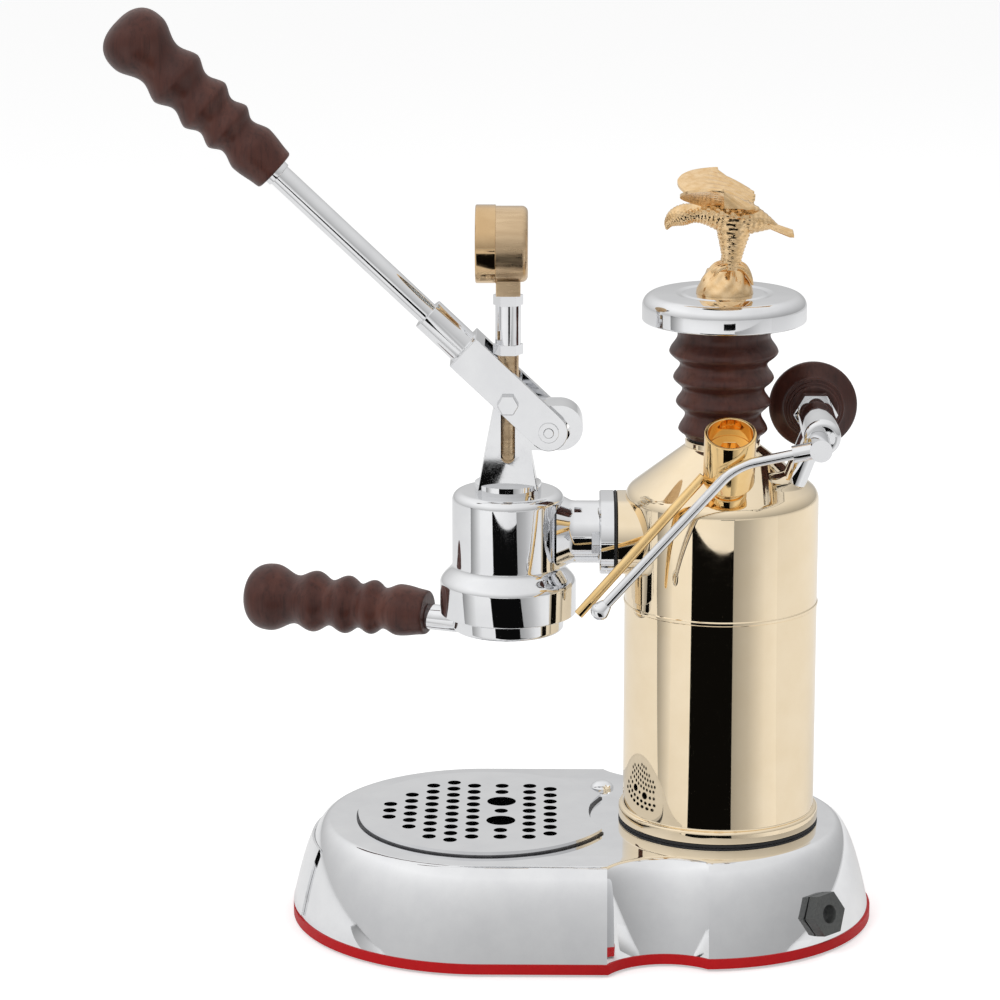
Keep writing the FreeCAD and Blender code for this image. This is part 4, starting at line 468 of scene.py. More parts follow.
def makeBase():
    # row u of the wall: the footprint leant in by lean u, at height low + (high - low) (1 - (1 - u)^2)
    share = np.linspace(0, 1, 40)
    height = base["low"] + (base["high"] - base["low"]) * (1 - (1 - share) ** 2)
    wall = np.stack([withHeight(footprint(base["lean"] * u), z) for u, z in zip(share, height)])
    rows, cols = wall.shape[:2]
    hole = withHeight(trayOutline(tray["lip"]), base["high"])
    roof = np.array(tessellate_polygon([[Vector(p) for p in wall[-1]], [Vector(p) for p in hole]]))
    rim = np.concatenate([np.arange(cols) + cols * (rows - 1), np.arange(len(hole)) + cols * rows])
    verts = np.concatenate([wall.reshape(-1, 3), hole])
    faces = gridFaces(rows, cols, False, True).tolist() + rim[roof].tolist()
    shell = addMesh("base_shell_polished", verts, faces, chrome, ["base_shell"], sharp=28.0)
    sheet = shell.modifiers.new("wall", "SOLIDIFY")
    sheet.thickness = base["wall"] * mm
    sheet.offset = -1.0


makeBase()
smoothCopy("base_trim", redBand, sharp=30.0)
# the drip tray takes the near-black steel as painted shade for its dark, unlit inside
smoothCopy("drip_tray", paintedShadeSteel, bevel=0.25)
smoothCopy("drip_grille", chrome, sharp=28.0)
smoothCopy("cord_gland", greyPlastic, bevel=0.5)
smoothCopy("switch_frame", blackPlastic, bevel=0.3)
smoothCopy("switch_rocker", blackPlastic, bevel=0.3)

frontPlate = {"halfTurn": 19.3, "low": 8.2, "high": 41.8, "proud": 1.25, "back": 0.1}


def makeFrontPlate():
    # a bare plate on the nose: radius = nose radius - lean (1 - sqrt(1 - share of the height)) + proud
    p = frontPlate
    turn = np.radians(np.linspace(180 - p["halfTurn"], 180 + p["halfTurn"], 60))
    height = np.linspace(p["low"], p["high"], 24)[:, None]
    share = (height - base["low"]) / (base["high"] - base["low"])
    nose = base["frontR"] - base["lean"] * (1 - np.sqrt(1 - share))
    skins = []
    for radius in (nose + p["proud"], nose + p["back"]):
        skins.append(np.stack([base["frontX"] + radius * np.cos(turn), radius * np.sin(turn),
                               height + 0 * turn], -1))
    r, c = len(height), len(turn)
    skin = gridFaces(r, c, False, False)
    edge = np.concatenate([np.arange(c), np.arange(1, r) * c + c - 1, (r - 1) * c + np.arange(c - 2, -1, -1),
                           np.arange(r - 2, 0, -1) * c])
    follow = np.roll(edge, -1)
    band = np.stack([edge, follow, follow + r * c, edge + r * c], 1)
    faces = np.concatenate([skin, skin + r * c, band])
    addMesh("front_plate_bare", np.concatenate(skins), faces, chrome, ["front_plate"])


makeFrontPlate()

pilotLamp = {"at": (11.0, 46.0, base["high"]), "shankR": 4.4, "depth": 13.0, "rimR": 6.0,
             "dome": [(6.0, 0.8, 0.5), (5.3, 2.1, 3.0), (3.0, 3.7, 4.0), (0, 4.2)]}
lampShank = [(0, -pilotLamp["depth"]), (pilotLamp["shankR"], -pilotLamp["depth"]), (pilotLamp["shankR"], 0),
             (pilotLamp["rimR"], 0)]
lathe("pilot_lamp_dome", roundProfile(lampShank + pilotLamp["dome"]), chrome, ["pilot_lamp"], pilotLamp["at"],
      around=64)
print("base done")


# boiler

boiler = {"wallR": 47.8, "boreR": 46.3, "floor": 56.0, "footR": 50.0, "footHigh": 6.5, "seat": 52.0,
          "stemR": 20.0, "stemBore": 15.0, "stemLow": 34.0, "seam": 162.9, "seamHigh": 2.3, "seamProud": 0.45,
          "seamSlope": 0.5, "shoulder": 8.0, "neckR": 18.5, "domeTop": 243.0, "domeFall": 38.0,
          "mouthR": 12.0, "mouthLow": 241.5, "top": 246.0}


def domeHeight(radius):
    # the dome is a cone that falls away from the neck
    return boiler["domeTop"] - (radius - boiler["neckR"]) * math.tan(math.radians(boiler["domeFall"]))


def makeBoiler():
    b = boiler
    wall, foot, edge = b["wallR"], b["seat"] + b["footHigh"], domeHeight(b["wallR"])
    stem = [(b["stemR"], b["stemLow"]), (b["stemR"], b["seat"])]
    ledge = [(b["footR"], b["seat"], 0.8), (b["footR"], foot, 1.6), (wall, foot, 0.8)]
    low, high, slope, proud = b["seam"], b["seam"] + b["seamHigh"], b["seamSlope"], wall + b["seamProud"]
    seam = [(wall, low), (proud, low + slope, 0.5), (proud, high - slope, 0.5), (wall, high)]
    dome = [(wall, edge, b["shoulder"]), (b["neckR"], b["domeTop"], 1.0), (b["neckR"], b["top"], 0.6)]
    inside = [(b["mouthR"], b["top"], 0.4), (b["mouthR"], b["mouthLow"]), (b["boreR"], edge - 0.5, 3.0),
              (b["boreR"], b["floor"]), (b["stemBore"], b["floor"]), (b["stemBore"], b["stemLow"])]
    profile = roundProfile(stem + ledge + seam + dome + inside, True)
    lathe("boiler_shell_polished", profile, boilerGold, ["boiler_shell"], (boilerX, 0, 0), ring=True,
          around=256)


boilerSeal = {"boreR": 20.3, "soft": 0.4}


def makeBoilerSeal():
    # fills the gap between the base's roof and the boiler's seat
    bore, soft, radius = boilerSeal["boreR"], boilerSeal["soft"], boiler["footR"]
    low, high = base["high"], boiler["seat"]
    profile = roundProfile([(bore, low), (radius, low, soft), (radius, high, soft), (bore, high)], True)
    lathe("boiler_gasket_ring", profile, blackRubber, ["boiler_gasket"], (boilerX, 0, 0), ring=True,
          around=200)


makeBoiler()
smoothCopy("flange_bolts", satinSteel, bevel=0.35)
makeBoilerSeal()
print("boiler done")


# safety valve and relief pipe

safety = {"x": 70.0, "reach": 38.4, "lean": math.radians(27), "sunk": 3.0, "collarR": 9.0, "collarTop": 2.5,
          "neckR": 7.3, "neckTop": 7.0, "cupR": 12.5, "cupBore": 10.8, "cupFloor": 10.0, "cupTop": 38.0}
relief = {"along": 11.0, "sunk": 0.3, "end": (-2.4, -53.0, 170.4), "radius": 2.4, "bore": 1.6}
safetyAt = np.array([safety["x"], -safety["reach"], domeHeight(safety["reach"])])
safetyWay = np.array([0, -math.sin(safety["lean"]), math.cos(safety["lean"])])


def makeSafetyValve():
    s = safety
    profile = roundProfile([(0, -s["sunk"]), (s["collarR"], -s["sunk"]), (s["collarR"], s["collarTop"], 0.8),
                            (s["neckR"], s["collarTop"], 0.6), (s["neckR"], s["neckTop"], 0.8),
                            (s["cupR"], s["neckTop"], 2.2), (s["cupR"], s["cupTop"], 0.4),
                            (s["cupBore"], s["cupTop"], 0.4), (s["cupBore"], s["cupFloor"]),
                            (0, s["cupFloor"])])
    lathe("safety_valve_cup", profile, deepGold, ["safety_valve_body"], safetyAt, safetyWay, around=120)
    smoothCopy("safety_valve_screw", deepGold, bevel=0.3)
    r = relief
    start = safetyAt + r["along"] * safetyWay + [r["sunk"] - s["cupR"], 0, 0]
    straightPipe("relief_pipe_round", start, np.array(r["end"]), r["radius"], r["bore"], deepGold,
                 ["relief_pipe"])


makeSafetyValve()


# steam valve, wand and knob

wand = {"x": 112.5, "z": 255.8, "radius": 2.5, "bore": 1.5, "passUp": 17.0, "gap": 0.8, "start": 5.4,
        "run": 41.0, "second": 96.4, "bendR": 30.0, "droop": math.radians(12), "bend": math.radians(36.1)}
nozzle = {"ballR": 4.6, "socketR": 2.55, "collarR": 2.85, "holeR": 1.5, "holeTop": 0.2,
          "cone": [(3.4, -3.4), (4.2, -1.4)], "open": math.radians(70)}


def wandPath():
    # straight, one round bend, straight, in the upright plane of the swivel, which clears the safety valve
    w = wand
    lean = safety["lean"]
    cupSide = safety["reach"] + w["passUp"] * math.tan(lean) + safety["cupR"] / math.cos(lean)
    y = -(cupSide + w["radius"] + w["gap"])
    cutBack = w["bendR"] * math.tan(w["bend"] / 2)
    first = np.stack([np.linspace(-w["start"], cutBack - w["run"], 14), np.zeros(14)], 1)
    a = np.linspace(0, w["bend"], 40)[1:-1]
    curve = np.stack([cutBack - w["run"] - w["bendR"] * np.sin(a), -w["bendR"] * (1 - np.cos(a))], 1)
    far = np.linspace(cutBack, w["second"], 24)
    last = np.stack([-w["run"] - far * math.cos(w["bend"]), -far * math.sin(w["bend"])], 1)
    flat = np.concatenate([first, curve, last])
    c, s = math.cos(w["droop"]), math.sin(w["droop"])
    x = flat[:, 0] * c - flat[:, 1] * s
    z = flat[:, 0] * s + flat[:, 1] * c
    return np.stack([x, 0 * x, z], 1) + [w["x"], y, w["z"]]


def makeWand():
    path = wandPath()
    pipeAlong("wand_pipe_bent", path, wand["radius"], wand["bore"], chrome, ["wand_pipe"])
    n = nozzle
    collar = [(n["socketR"], -n["ballR"]), (n["collarR"], -n["ballR"])] + n["cone"]
    ball = arc(0, 0, n["ballR"], 0, n["open"], 14)
    profile = np.concatenate([collar, ball, [(n["holeR"], n["holeTop"]), (n["socketR"], 0)]])
    way = unit(path[-1] - path[-2])
    lathe("wand_nozzle_ball", profile, chrome, ["wand_nozzle"], path[-1], way, ring=True, around=72)
    smoothCopy("wand_swivel", chrome, bevel=0.35)


steamValve = {"x": 114.5, "z": 257.5, "stubReach": 37.0, "stubTurn": math.radians(-19), "stubSunk": 2.0,
              "stubShort": 4.1, "stubR": 6.2, "stubBore": 3.0}


def makeSteamValve():
    v = steamValve
    smoothCopy("steam_valve_body", chrome, bevel=0.5)
    reach, turn = v["stubReach"], v["stubTurn"]
    foot = np.array([boilerX + reach * math.cos(turn), reach * math.sin(turn), domeHeight(reach)])
    head = np.array([v["x"], foot[1], v["z"]])
    way = unit(head - foot)
    straightPipe("steam_stub_pipe", foot - v["stubSunk"] * way, head - v["stubShort"] * way, v["stubR"],
                 v["stubBore"], chrome, ["steam_valve_stub"])


knob = {"boreR": 3.55, "bossR": 12.0, "bossLow": 13.0, "stepR": 13.4, "stepLow": 15.4, "waistR": 15.0,
        "waistLow": 17.0, "flareLow": 19.0, "rimR": 22.0, "rimAt": 25.0, "crownR": 12.0}


def makeKnob():
    k = knob
    foot = roundProfile([(k["boreR"], k["bossLow"]), (k["bossR"], k["bossLow"], 0.8),
                         (k["bossR"], k["stepLow"], 0.6), (k["stepR"], k["stepLow"], 0.5),
                         (k["stepR"], k["waistLow"], 0.5), (k["waistR"], k["waistLow"], 0.5),
                         (k["waistR"], k["flareLow"])])
    flare = waveProfile([(k["waistR"], k["flareLow"]), (k["rimR"], k["rimAt"])], 16)
    crown = arc(k["rimR"] - k["crownR"], k["rimAt"], k["crownR"], 0, np.pi / 2, 24)[1:]
    profile = np.concatenate([foot, flare, crown, [(0, k["rimAt"] + k["crownR"])]])
    at, backward = (steamValve["x"], 0, steamValve["z"]), (0, 1, 0)
    lathe("steam_knob_turned", profile, woodKnob, ["steam_knob"], at, backward)


makeWand()
makeSteamValve()
makeKnob()
print("steam side done")


# group

bell = {"low": 157.5, "skirtR": 33.8, "flareLow": 173.0, "flareHigh": 183.0, "bodyR": 27.7, "top": 219.5,
        "topSoft": 4.5, "rodBore": 9.05, "sleeveR": 22.05, "sleeveTop": 212.0, "screenR": 28.2,
        "screenTop": 170.9, "sealR": 30.7, "sealTop": 165.9, "mouthR": 28.3, "mouthTop": 161.5}
port = {"z": 198.5, "rootR": 19.5, "root": 24.0, "neckR": 15.5, "neckFrom": 31.5, "end": 45.4, "endR": 17.0,
        "bore": 5.0, "halfWide": 28.0, "halfHigh": 18.5, "flange": (8.25, 15.75), "pad": (16.55, 40.0)}


def makeBell():
    b = bell
    skirt = roundProfile([(b["mouthR"], b["mouthTop"]), (b["mouthR"], b["low"]), (b["skirtR"], b["low"], 0.7),
                          (b["skirtR"], b["flareLow"] - 0.2)])
    flare = waveProfile([(b["skirtR"], b["flareLow"]), (b["bodyR"], b["flareHigh"])], 24)
    crown = roundProfile([(b["bodyR"], b["flareHigh"] + 1), (b["bodyR"], b["top"], b["topSoft"]),
                          (b["rodBore"], b["top"])], steps=14)
    inside = [(b["rodBore"], b["sleeveTop"]), (b["sleeveR"], b["sleeveTop"]), (b["sleeveR"], b["screenTop"]),
              (b["screenR"], b["screenTop"]), (b["screenR"], b["sealTop"]), (b["sealR"], b["sealTop"]),
              (b["sealR"], b["mouthTop"])]
    profile = np.concatenate([skirt, flare, crown, inside])
    lathe("group_bell", profile, chrome, ["group_body"], (groupX, 0, 0), ring=True, around=256)


def makeGroupNeck():
    # a round pipe with swelling ends, which the oblong flange follows
    p = port
    skin = roundProfile([(p["rootR"], p["root"]), (p["neckR"], p["neckFrom"], 6.0),
                         (p["neckR"], p["end"], 1.2), (p["endR"], p["end"])], steps=12)
    profile = np.concatenate([skin, [(p["bore"], p["end"]), (p["bore"], p["root"])]])
    at, towardBoiler = (groupX, 0, p["z"]), (1, 0, 0)
    lathe("group_neck", profile, chrome, [], at, towardBoiler, ring=True, body="base")


def oblongPlate(name, ends, finish, soft=0.6):
    # a closed oblong slab across X: a circle whose halves are drawn apart, smaller by soft at both faces
    x0, x1 = ends
    high = port["halfHigh"]
    a = fullTurn(160)
    drawn = np.sign(np.cos(a)) * (port["halfWide"] - high)
    rows = []
    for x, radius in ((x0, high - soft), (x0 + soft, high), (x1 - soft, high), (x1, high - soft)):
        y, z = radius * np.cos(a) + drawn, port["z"] + radius * np.sin(a)
        rows.append(np.stack([np.full_like(a, x), y, z], 1))
    addMesh(name, np.stack(rows), tubeFaces(len(rows), len(a)), finish, [], body="base")


makeBell()
makeGroupNeck()
oblongPlate("group_flange", port["flange"], chrome)
oblongPlate("boiler_seat_pad", port["pad"], boilerGold)
smoothCopy("group_yoke", chrome, bevel=1.6)
smoothCopy("lever_fork", chrome, bevel=0.9)
smoothCopy("rod_pin", chrome, bevel=0.35)
smoothCopy("fulcrum_pin", chrome, bevel=0.2)


# piston rod and gauge

pistonRod = {"low": 194.3, "tenonR": 4.0, "shoulder": 209.3, "radius": 5.2, "high": 288.5, "studR": 3.0,
             "studTop": 296.5}
gauge = {"z": 343.0, "caseR": 18.6, "caseBore": 17.2, "back": -9.6, "backSoft": 3.0, "floor": -8.2,
         "front": 6.0, "hubR": 9.0, "pinBore": 1.05, "pinFloor": -8.9}
bezel = {"radius": 19.2, "bore": 18.3, "windowR": 16.6, "lip": 14.8, "front": 16.0}
gaugeShank = {"half": 6.0, "soft": 0.7, "low": 318.0, "high": 330.0, "around": 64}
dial = {"marks": 31, "sweep": 135.0, "longEvery": 5, "outer": 15.6, "longFrom": 12.2, "shortFrom": 13.9,
        "longHalf": 0.42, "shortHalf": 0.22, "forward": 6.95}


def makePistonRod():
    p = pistonRod
    profile = roundProfile([(0, p["low"]), (p["tenonR"], p["low"]), (p["tenonR"], p["shoulder"]),
                            (p["radius"], p["shoulder"]), (p["radius"], p["high"], 0.4),
                            (p["studR"], p["high"]), (p["studR"], p["studTop"]), (0, p["studTop"])])
    lathe("piston_rod_polished", profile, brushedBrass, ["piston_rod"], (groupX, 0, 0), around=64)


def makeGauge():
    g, b = gauge, bezel
    at, towardUser = (groupX, 0, g["z"]), (-1, 0, 0)
    case = roundProfile([(0, g["back"]), (g["caseR"], g["back"], g["backSoft"]), (g["caseR"], g["front"]),
                         (g["caseBore"], g["front"]), (g["caseBore"], g["floor"]), (g["hubR"], g["floor"]),
                         (g["hubR"], g["front"]), (g["pinBore"], g["front"]), (g["pinBore"], g["pinFloor"]),
                         (0, g["pinFloor"])])
    lathe("gauge_case_brushed", case, brushedBrass, ["gauge_case"], at, towardUser)
    rim = roundProfile([(b["bore"], g["front"]), (b["radius"], g["front"], 0.3),
                        (b["radius"], b["front"], 0.8), (b["windowR"], b["front"], 0.6),
                        (b["windowR"], b["lip"]), (b["bore"], b["lip"])], True)
    lathe("gauge_bezel_ring", rim, gaugeBrass, ["gauge_bezel"], at, towardUser, ring=True)


def makeGaugeShank():
    # the square shank between the stem's nut and the case: a small circle whose quarters are drawn apart
    s = gaugeShank
    a = fullTurn(s["around"])
    out = s["half"] - s["soft"]
    corner = np.stack([np.sign(np.cos(a)) * out + s["soft"] * np.cos(a) + groupX,
                       np.sign(np.sin(a)) * out + s["soft"] * np.sin(a)], 1)
    grid = np.stack([withHeight(corner, z) for z in (s["low"], s["high"])])
    addMesh("gauge_block", grid, tubeFaces(2, len(a)), brushedBrass, [], body="piston")


def makeDialMarks():
    # short strokes round the dial, the longer ones at every fifth
    d = dial
    turn = np.radians(np.linspace(-d["sweep"], d["sweep"], d["marks"]))
    isLong = np.arange(d["marks"]) % d["longEvery"] == 0
    inner = np.where(isLong, d["longFrom"], d["shortFrom"])[:, None]
    half = np.where(isLong, d["longHalf"], d["shortHalf"])[:, None]
    out = np.stack([np.sin(turn), np.cos(turn)], 1)
    side = np.stack([np.cos(turn), -np.sin(turn)], 1) * half
    near, far = out * inner, out * d["outer"]
    flat = np.stack([near - side, near + side, far + side, far - side], 1)
    x = np.full(flat.shape[:2], groupX - d["forward"])
    verts = np.stack([x, -flat[..., 0], gauge["z"] + flat[..., 1]], -1).reshape(-1, 3)
    addMesh("dial_marks", verts, np.arange(len(verts)).reshape(-1, 4), blackPlastic, [],
            body="piston")


makePistonRod()
smoothCopy("gauge_stem", chrome, bevel=0.4)
makeGauge()
makeGaugeShank()
makeDialMarks()
print("group and gauge done")


# turned wooden grips on the lever and the portafilter

# crests and hollows of a grip: share of the ball's radius, share of the length
gripShape = ((0.66, 0.0), (0.765, 0.15), (0.612, 0.235), (0.806, 0.30), (0.662, 0.37), (0.862, 0.443),
             (0.685, 0.53), (0.912, 0.62), (0.726, 0.72), (1.0, 0.857))
grip = {"ballR": 17.0, "boreR": 4.05, "boreDeep": 61.0, "footHigh": 2.0, "footDraw": 0.2, "footSoft": 1.4,
        "endShort": 0.4}
lever = {"fulcrumReach": 24.5, "fulcrumTurn": math.radians(35.4), "fulcrumZ": 251.8, "rodR": 5.7,
         "rodStart": 62.0, "collarR": 6.6, "collar": 181.0, "gripStart": 184.0, "gripLong": 105.0,
         "crest": 0.2, "tenonR": 4.0, "tenonEnd": 244.0}
portafilter = {"radius": 27.7, "bore": 25.0, "low": 149.0, "high": 164.6, "soft": 2.0, "neckR": 6.5,
               "neckZ": 150.6, "neckStart": 25.8, "neckLong": 17.2, "gripZ": 152.6, "gripStart": 43.0,
               "gripLong": 99.0, "crest": 0.0}
leverWay = np.array([-math.cos(leverTilt), 0, math.sin(leverTilt)])
handleWay = np.array([-math.cos(handleYaw), math.sin(handleYaw), 0])


def makeGrip(name, start, length, crest, at, towards, finish, stands):
    # foot, eased crests and hollows, then the end, whose radius is ball cos(t)^0.8 and whose height is
    # widest + rise sin(t)^0.8
    g = grip
    ball = g["ballR"]
    ridges = [(ball * r, start + length * z) for r, z in gripShape]
    footR, footTop = ridges[0][0], start + g["footHigh"]
    foot = roundProfile([(g["boreR"], start + g["boreDeep"]), (g["boreR"], start),
                         (footR - g["footDraw"], start, g["footSoft"]), (footR, footTop)])[:-1]
    body = waveProfile(ridges[:2])[:-1]
    body = body[body[:, 1] > footTop]
    beads = waveProfile(ridges[1:-1], 18, point=crest)[:-1]
    flare = waveProfile(ridges[-2:], 20)
    widest = ridges[-1][1]
    rise = start + length - g["endShort"] - widest
    t = np.linspace(0, np.pi / 2, 28)[1:-1]
    end = np.stack([ball * np.cos(t) ** 0.8, widest + rise * np.sin(t) ** 0.8], axis=1)
    profile = np.concatenate([foot, body, beads, flare, end, [(0, widest + rise)]])
    lathe(name, profile, finish, stands, at, towards)


def makeLever():
    v = lever
    fulcrum = np.array([groupX + v["fulcrumReach"] * math.cos(v["fulcrumTurn"]), 0, v["fulcrumZ"]])
    makeGrip("lever_grip_turned", v["gripStart"], v["gripLong"], v["crest"], fulcrum, leverWay, woodLever,
             ["lever_grip"])
    profile = roundProfile([(0, v["rodStart"]), (v["rodR"], v["rodStart"]), (v["rodR"], v["collar"]),
                            (v["collarR"], v["collar"], 0.5), (v["collarR"], v["gripStart"]),
                            (v["tenonR"], v["gripStart"]), (v["tenonR"], v["tenonEnd"]), (0, v["tenonEnd"])])
    lathe("lever_rod_polished", profile, chrome, ["lever_rod"], fulcrum, leverWay, around=72)


def makePortafilter():
    p = portafilter
    makeGrip("portafilter_grip_turned", p["gripStart"], p["gripLong"], p["crest"], (groupX, 0, p["gripZ"]),
             handleWay, woodHandle, ["portafilter_grip"])
    ring = roundProfile([(p["bore"], p["low"]), (p["radius"], p["low"], p["soft"]), (p["radius"], p["high"]),
                         (p["bore"], p["high"])], True, 10)
    lathe("portafilter_ring", ring, chrome, ["portafilter_body"], (groupX, 0, 0), ring=True, around=200)
    neck = roundProfile([(0, 0), (p["neckR"], 0, 0.5), (p["neckR"], p["neckLong"], 0.6), (0, p["neckLong"])])
    neckAt = np.array([groupX, 0, p["neckZ"]]) + p["neckStart"] * handleWay
    lathe("portafilter_neck", neck, chrome, [], neckAt, handleWay, around=72,
          body="portafilter")
    smoothCopy("filter_basket", satinSteel, sharp=30.0)


makeLever()
makePortafilter()
print("lever and portafilter done")


# filler cap

# crests and hollows of the cap's grip: share of its radius, share of its height
capShape = ((0.69, 0.0), (0.82, 0.065), (0.70, 0.195), (0.87, 0.30), (0.754, 0.41), (0.925, 0.51),
            (0.80, 0.625), (1.0, 0.735), (0.85, 0.875), (0.93, 1.0))
cap = {"radius": 26.8, "low": 247.5, "high": 305.5, "crest": 0.15, "boreR": 5.05, "socketR": 15.55,
       "socketTop": 250.5}
capPlate = {"radius": 40.3, "rimTop": 318.6, "rimSoft": 6.0, "rimBore": 37.3, "under": 316.1, "haunch": 3.0,
            "top": 319.1, "groove": [(24.0, 319.1, 3.0), (21.2, 318.5, 1.5), (19.4, 319.05, 1.5)]}


def makeCap():
    c, p = cap, capPlate
    waves = waveProfile([(c["radius"] * r, c["low"] + (c["high"] - c["low"]) * z) for r, z in capShape],
                        point=c["crest"])
    socket = [(c["boreR"], c["socketTop"]), (c["socketR"], c["socketTop"]), (c["socketR"], c["low"])]
    lathe("cap_grip_turned", np.concatenate([socket, waves, [(c["boreR"], c["high"])]]), woodUp, ["cap_grip"],
          (boilerX, 0, 0), ring=True)
    below = [(c["boreR"], p["under"]), (c["boreR"], c["high"]), (c["radius"], c["high"]),
             (c["radius"], p["under"]), (p["rimBore"] - p["haunch"], p["under"], 2.0),
             (p["rimBore"], p["under"] - p["haunch"], 2.0), (p["rimBore"], c["high"])]
    rim = [(p["radius"], c["high"], 1.0), (p["radius"], p["rimTop"], p["rimSoft"])]
    above = rim + p["groove"] + [(0, p["top"])]
    lathe("cap_plate_polished", roundProfile(below + above, steps=16), chrome, ["cap_plate"], (boilerX, 0, 0),
          around=200)


makeCap()
print("cap done")


# perched bird on the cap

birdAt = np.array([boilerX, 0, capPlate["top"]])
bird = {
    # stations from rump to beak tip: x, z, half width, half height
    "torso": [(25, 33.0, 1.2, 1.0), (18, 35, 5.4, 4.6), (9, 37, 8.2, 8.2), (-1, 38.6, 8.0, 8.0),
              (-9, 39.6, 6.0, 6.0), (-15, 39.4, 4.7, 4.6), (-20, 38.6, 5.0, 5.0), (-24.4, 37.0, 4.0, 4.4),
              (-27.4, 34.4, 1.9, 2.6), (-28.7, 31.2, 0.3, 0.5)],
    # stations from hip to foot
    "leg": [(4.2, 38, 6.2, 9.2), (3.8, 30, 5.4, 7.6), (3.4, 23, 4.2, 5.8), (3.0, 17, 3.4, 4.6),
            (1.6, 11, 3.6, 4.8)],
    "legApart": 3.0,
    # each toe's distance from the middle plane and its reach along X; stations: share of the reach, z, radius
    "toes": ((1.6, -11.5), (4.2, -10.5), (6.6, -8.0), (4.0, 11.5)),
    "toe": ((0.2, 14.0, 1.7), (0.6, 12.6, 1.7), (0.86, 8.6, 1.3), (1.0, 4.6, 0.4)),
    "toeRoot": 2.0,
}
wing = {"root": 1.5, "span": 31.5, "lead": -9.0, "leadSweep": 15.0, "trail": 12.0, "trailSweep": 7.0,
        "feathers": 24.0, "notch": 1.6, "ridge": 0.55, "shoulder": 41.0, "rise": 11.5, "pitch": 9.0,
        "camber": 3.0, "edge": 0.45, "thick": 1.3, "tilt": 0.34}
tail = {"root": 15.0, "long": 18.0, "notch": 2.2, "halfWide": 4.5, "fan": 2.8, "z": 36.0, "drop": 6.4,
        "droop": 0.8, "feathers": 8.0, "ridge": 0.4, "half": 0.8}
rock = {"radius": 14.0, "taper": 6.0, "high": 12.0, "peak": 13.0, "rows": 40, "around": 120}


def sweepRound(spine, across, upward, around):
    # ellipses of half-widths across and upward carried along a spine in an upright plane
    along = np.gradient(spine, axis=0)
    along /= np.linalg.norm(along, axis=1)[:, None]
    up = np.stack([-along[:, 2], 0 * along[:, 0], along[:, 0]], 1)
    turn = fullTurn(around)[None, :, None]
    side = np.array([0.0, 1.0, 0.0])
    return (spine[:, None] + across[:, None, None] * np.cos(turn) * side
            + upward[:, None, None] * np.sin(turn) * up[:, None])


def feathered(spine, across, upward, around, scales, depth):
    # rows of small scales, each row half a scale round from the last: the ellipse grown by
    # depth |sin(scales turn + a quarter wave for each row)| (1 - share of the row)
    grid = sweepRound(spine, across, upward, around)
    stepsPerRow = 4.0
    row = np.arange(len(grid))[:, None] / stepsPerRow
    scale = np.abs(np.sin(scales * fullTurn(around) + np.pi / 2 * np.floor(row))) * (1 - row % 1.0)
    middle = spine[:, None]
    return middle + (grid - middle) * (1 + depth * scale[..., None])


def curveThrough(points, count):
    # smooth values through a few stations, by cubic Hermite spans of equal length
    pts = np.asarray(points, float)
    slope = np.gradient(pts, axis=0)
    t = np.linspace(0, len(pts) - 1, count)
    k = np.minimum(t.astype(int), len(pts) - 2)
    u = (t - k)[:, None]
    h00, h10 = 2 * u ** 3 - 3 * u ** 2 + 1, u ** 3 - 2 * u ** 2 + u
    h01, h11 = -2 * u ** 3 + 3 * u ** 2, u ** 3 - u ** 2
    return h00 * pts[k] + h10 * slope[k] + h01 * pts[k + 1] + h11 * slope[k + 1]


def spineAt(stations, y):
    return np.stack([stations[:, 0], np.full(len(stations), y), stations[:, 1]], 1)


def torsoGrid():
    torso = curveThrough(bird["torso"], 130)
    across, upward = np.maximum(torso[:, 2], 0.05), np.maximum(torso[:, 3], 0.05)
    return feathered(spineAt(torso, 0.0), across, upward, 72, 9, 0.085)


def legGrid(side):
    leg = curveThrough(bird["leg"], 60)
    return feathered(spineAt(leg, side * bird["legApart"]), leg[:, 2], leg[:, 3], 44, 6, 0.10)


def toeGrid(side, apart, reach):
    toe = curveThrough([(bird["toeRoot"] + share * reach, z, radius) for share, z, radius in bird["toe"]], 24)
    return sweepRound(spineAt(toe, side * apart), toe[:, 2], toe[:, 2], 20)


def wingGrid(side):
    # a cambered sheet, u from shoulder to rounded tip and v from leading to trailing edge: the chord narrows
    # as sqrt(1 - u^5), the height rises as u^0.9 and falls with v, and |sin(feathers u)| ribs the rear part
    w = wing
    u = np.linspace(0, 1, 90)[:, None]
    v = np.linspace(0, 1, 60)[None]
    rib = np.abs(np.sin(u * w["feathers"]))
    lead = w["lead"] - w["leadSweep"] * np.sin(np.minimum(u * 1.5, 1) * np.pi / 2)
    trail = w["trail"] + w["trailSweep"] * u - w["notch"] * (1 - rib)
    half = (trail - lead) / 2 * np.sqrt(np.maximum(1 - u ** 5, 0.0004))
    x = (trail + lead) / 2 + half * (2 * v - 1)
    out = w["root"] + w["span"] * u + 0 * v
    z = w["shoulder"] + w["rise"] * u ** 0.9 - w["pitch"] * (v - 0.4) * (0.45 + 0.55 * u)
    z = z + w["camber"] * np.sin(np.pi * v) + w["ridge"] * rib * np.clip((v - 0.3) * 2.5, 0, 1)
    belly = np.sqrt(np.clip(np.sin(np.pi * (0.03 + 0.94 * v)), 0, 1))
    thick = w["edge"] + w["thick"] * belly * (1 - 0.75 * u)
    aside, lift = thick * np.sin(w["tilt"] * side), thick * np.cos(w["tilt"])
    topSkin = np.stack([x, side * out - aside, z + lift], -1)
    lowSkin = np.stack([x, side * out + aside, z - lift], -1)
    return np.concatenate([topSkin, lowSkin[::-1]])


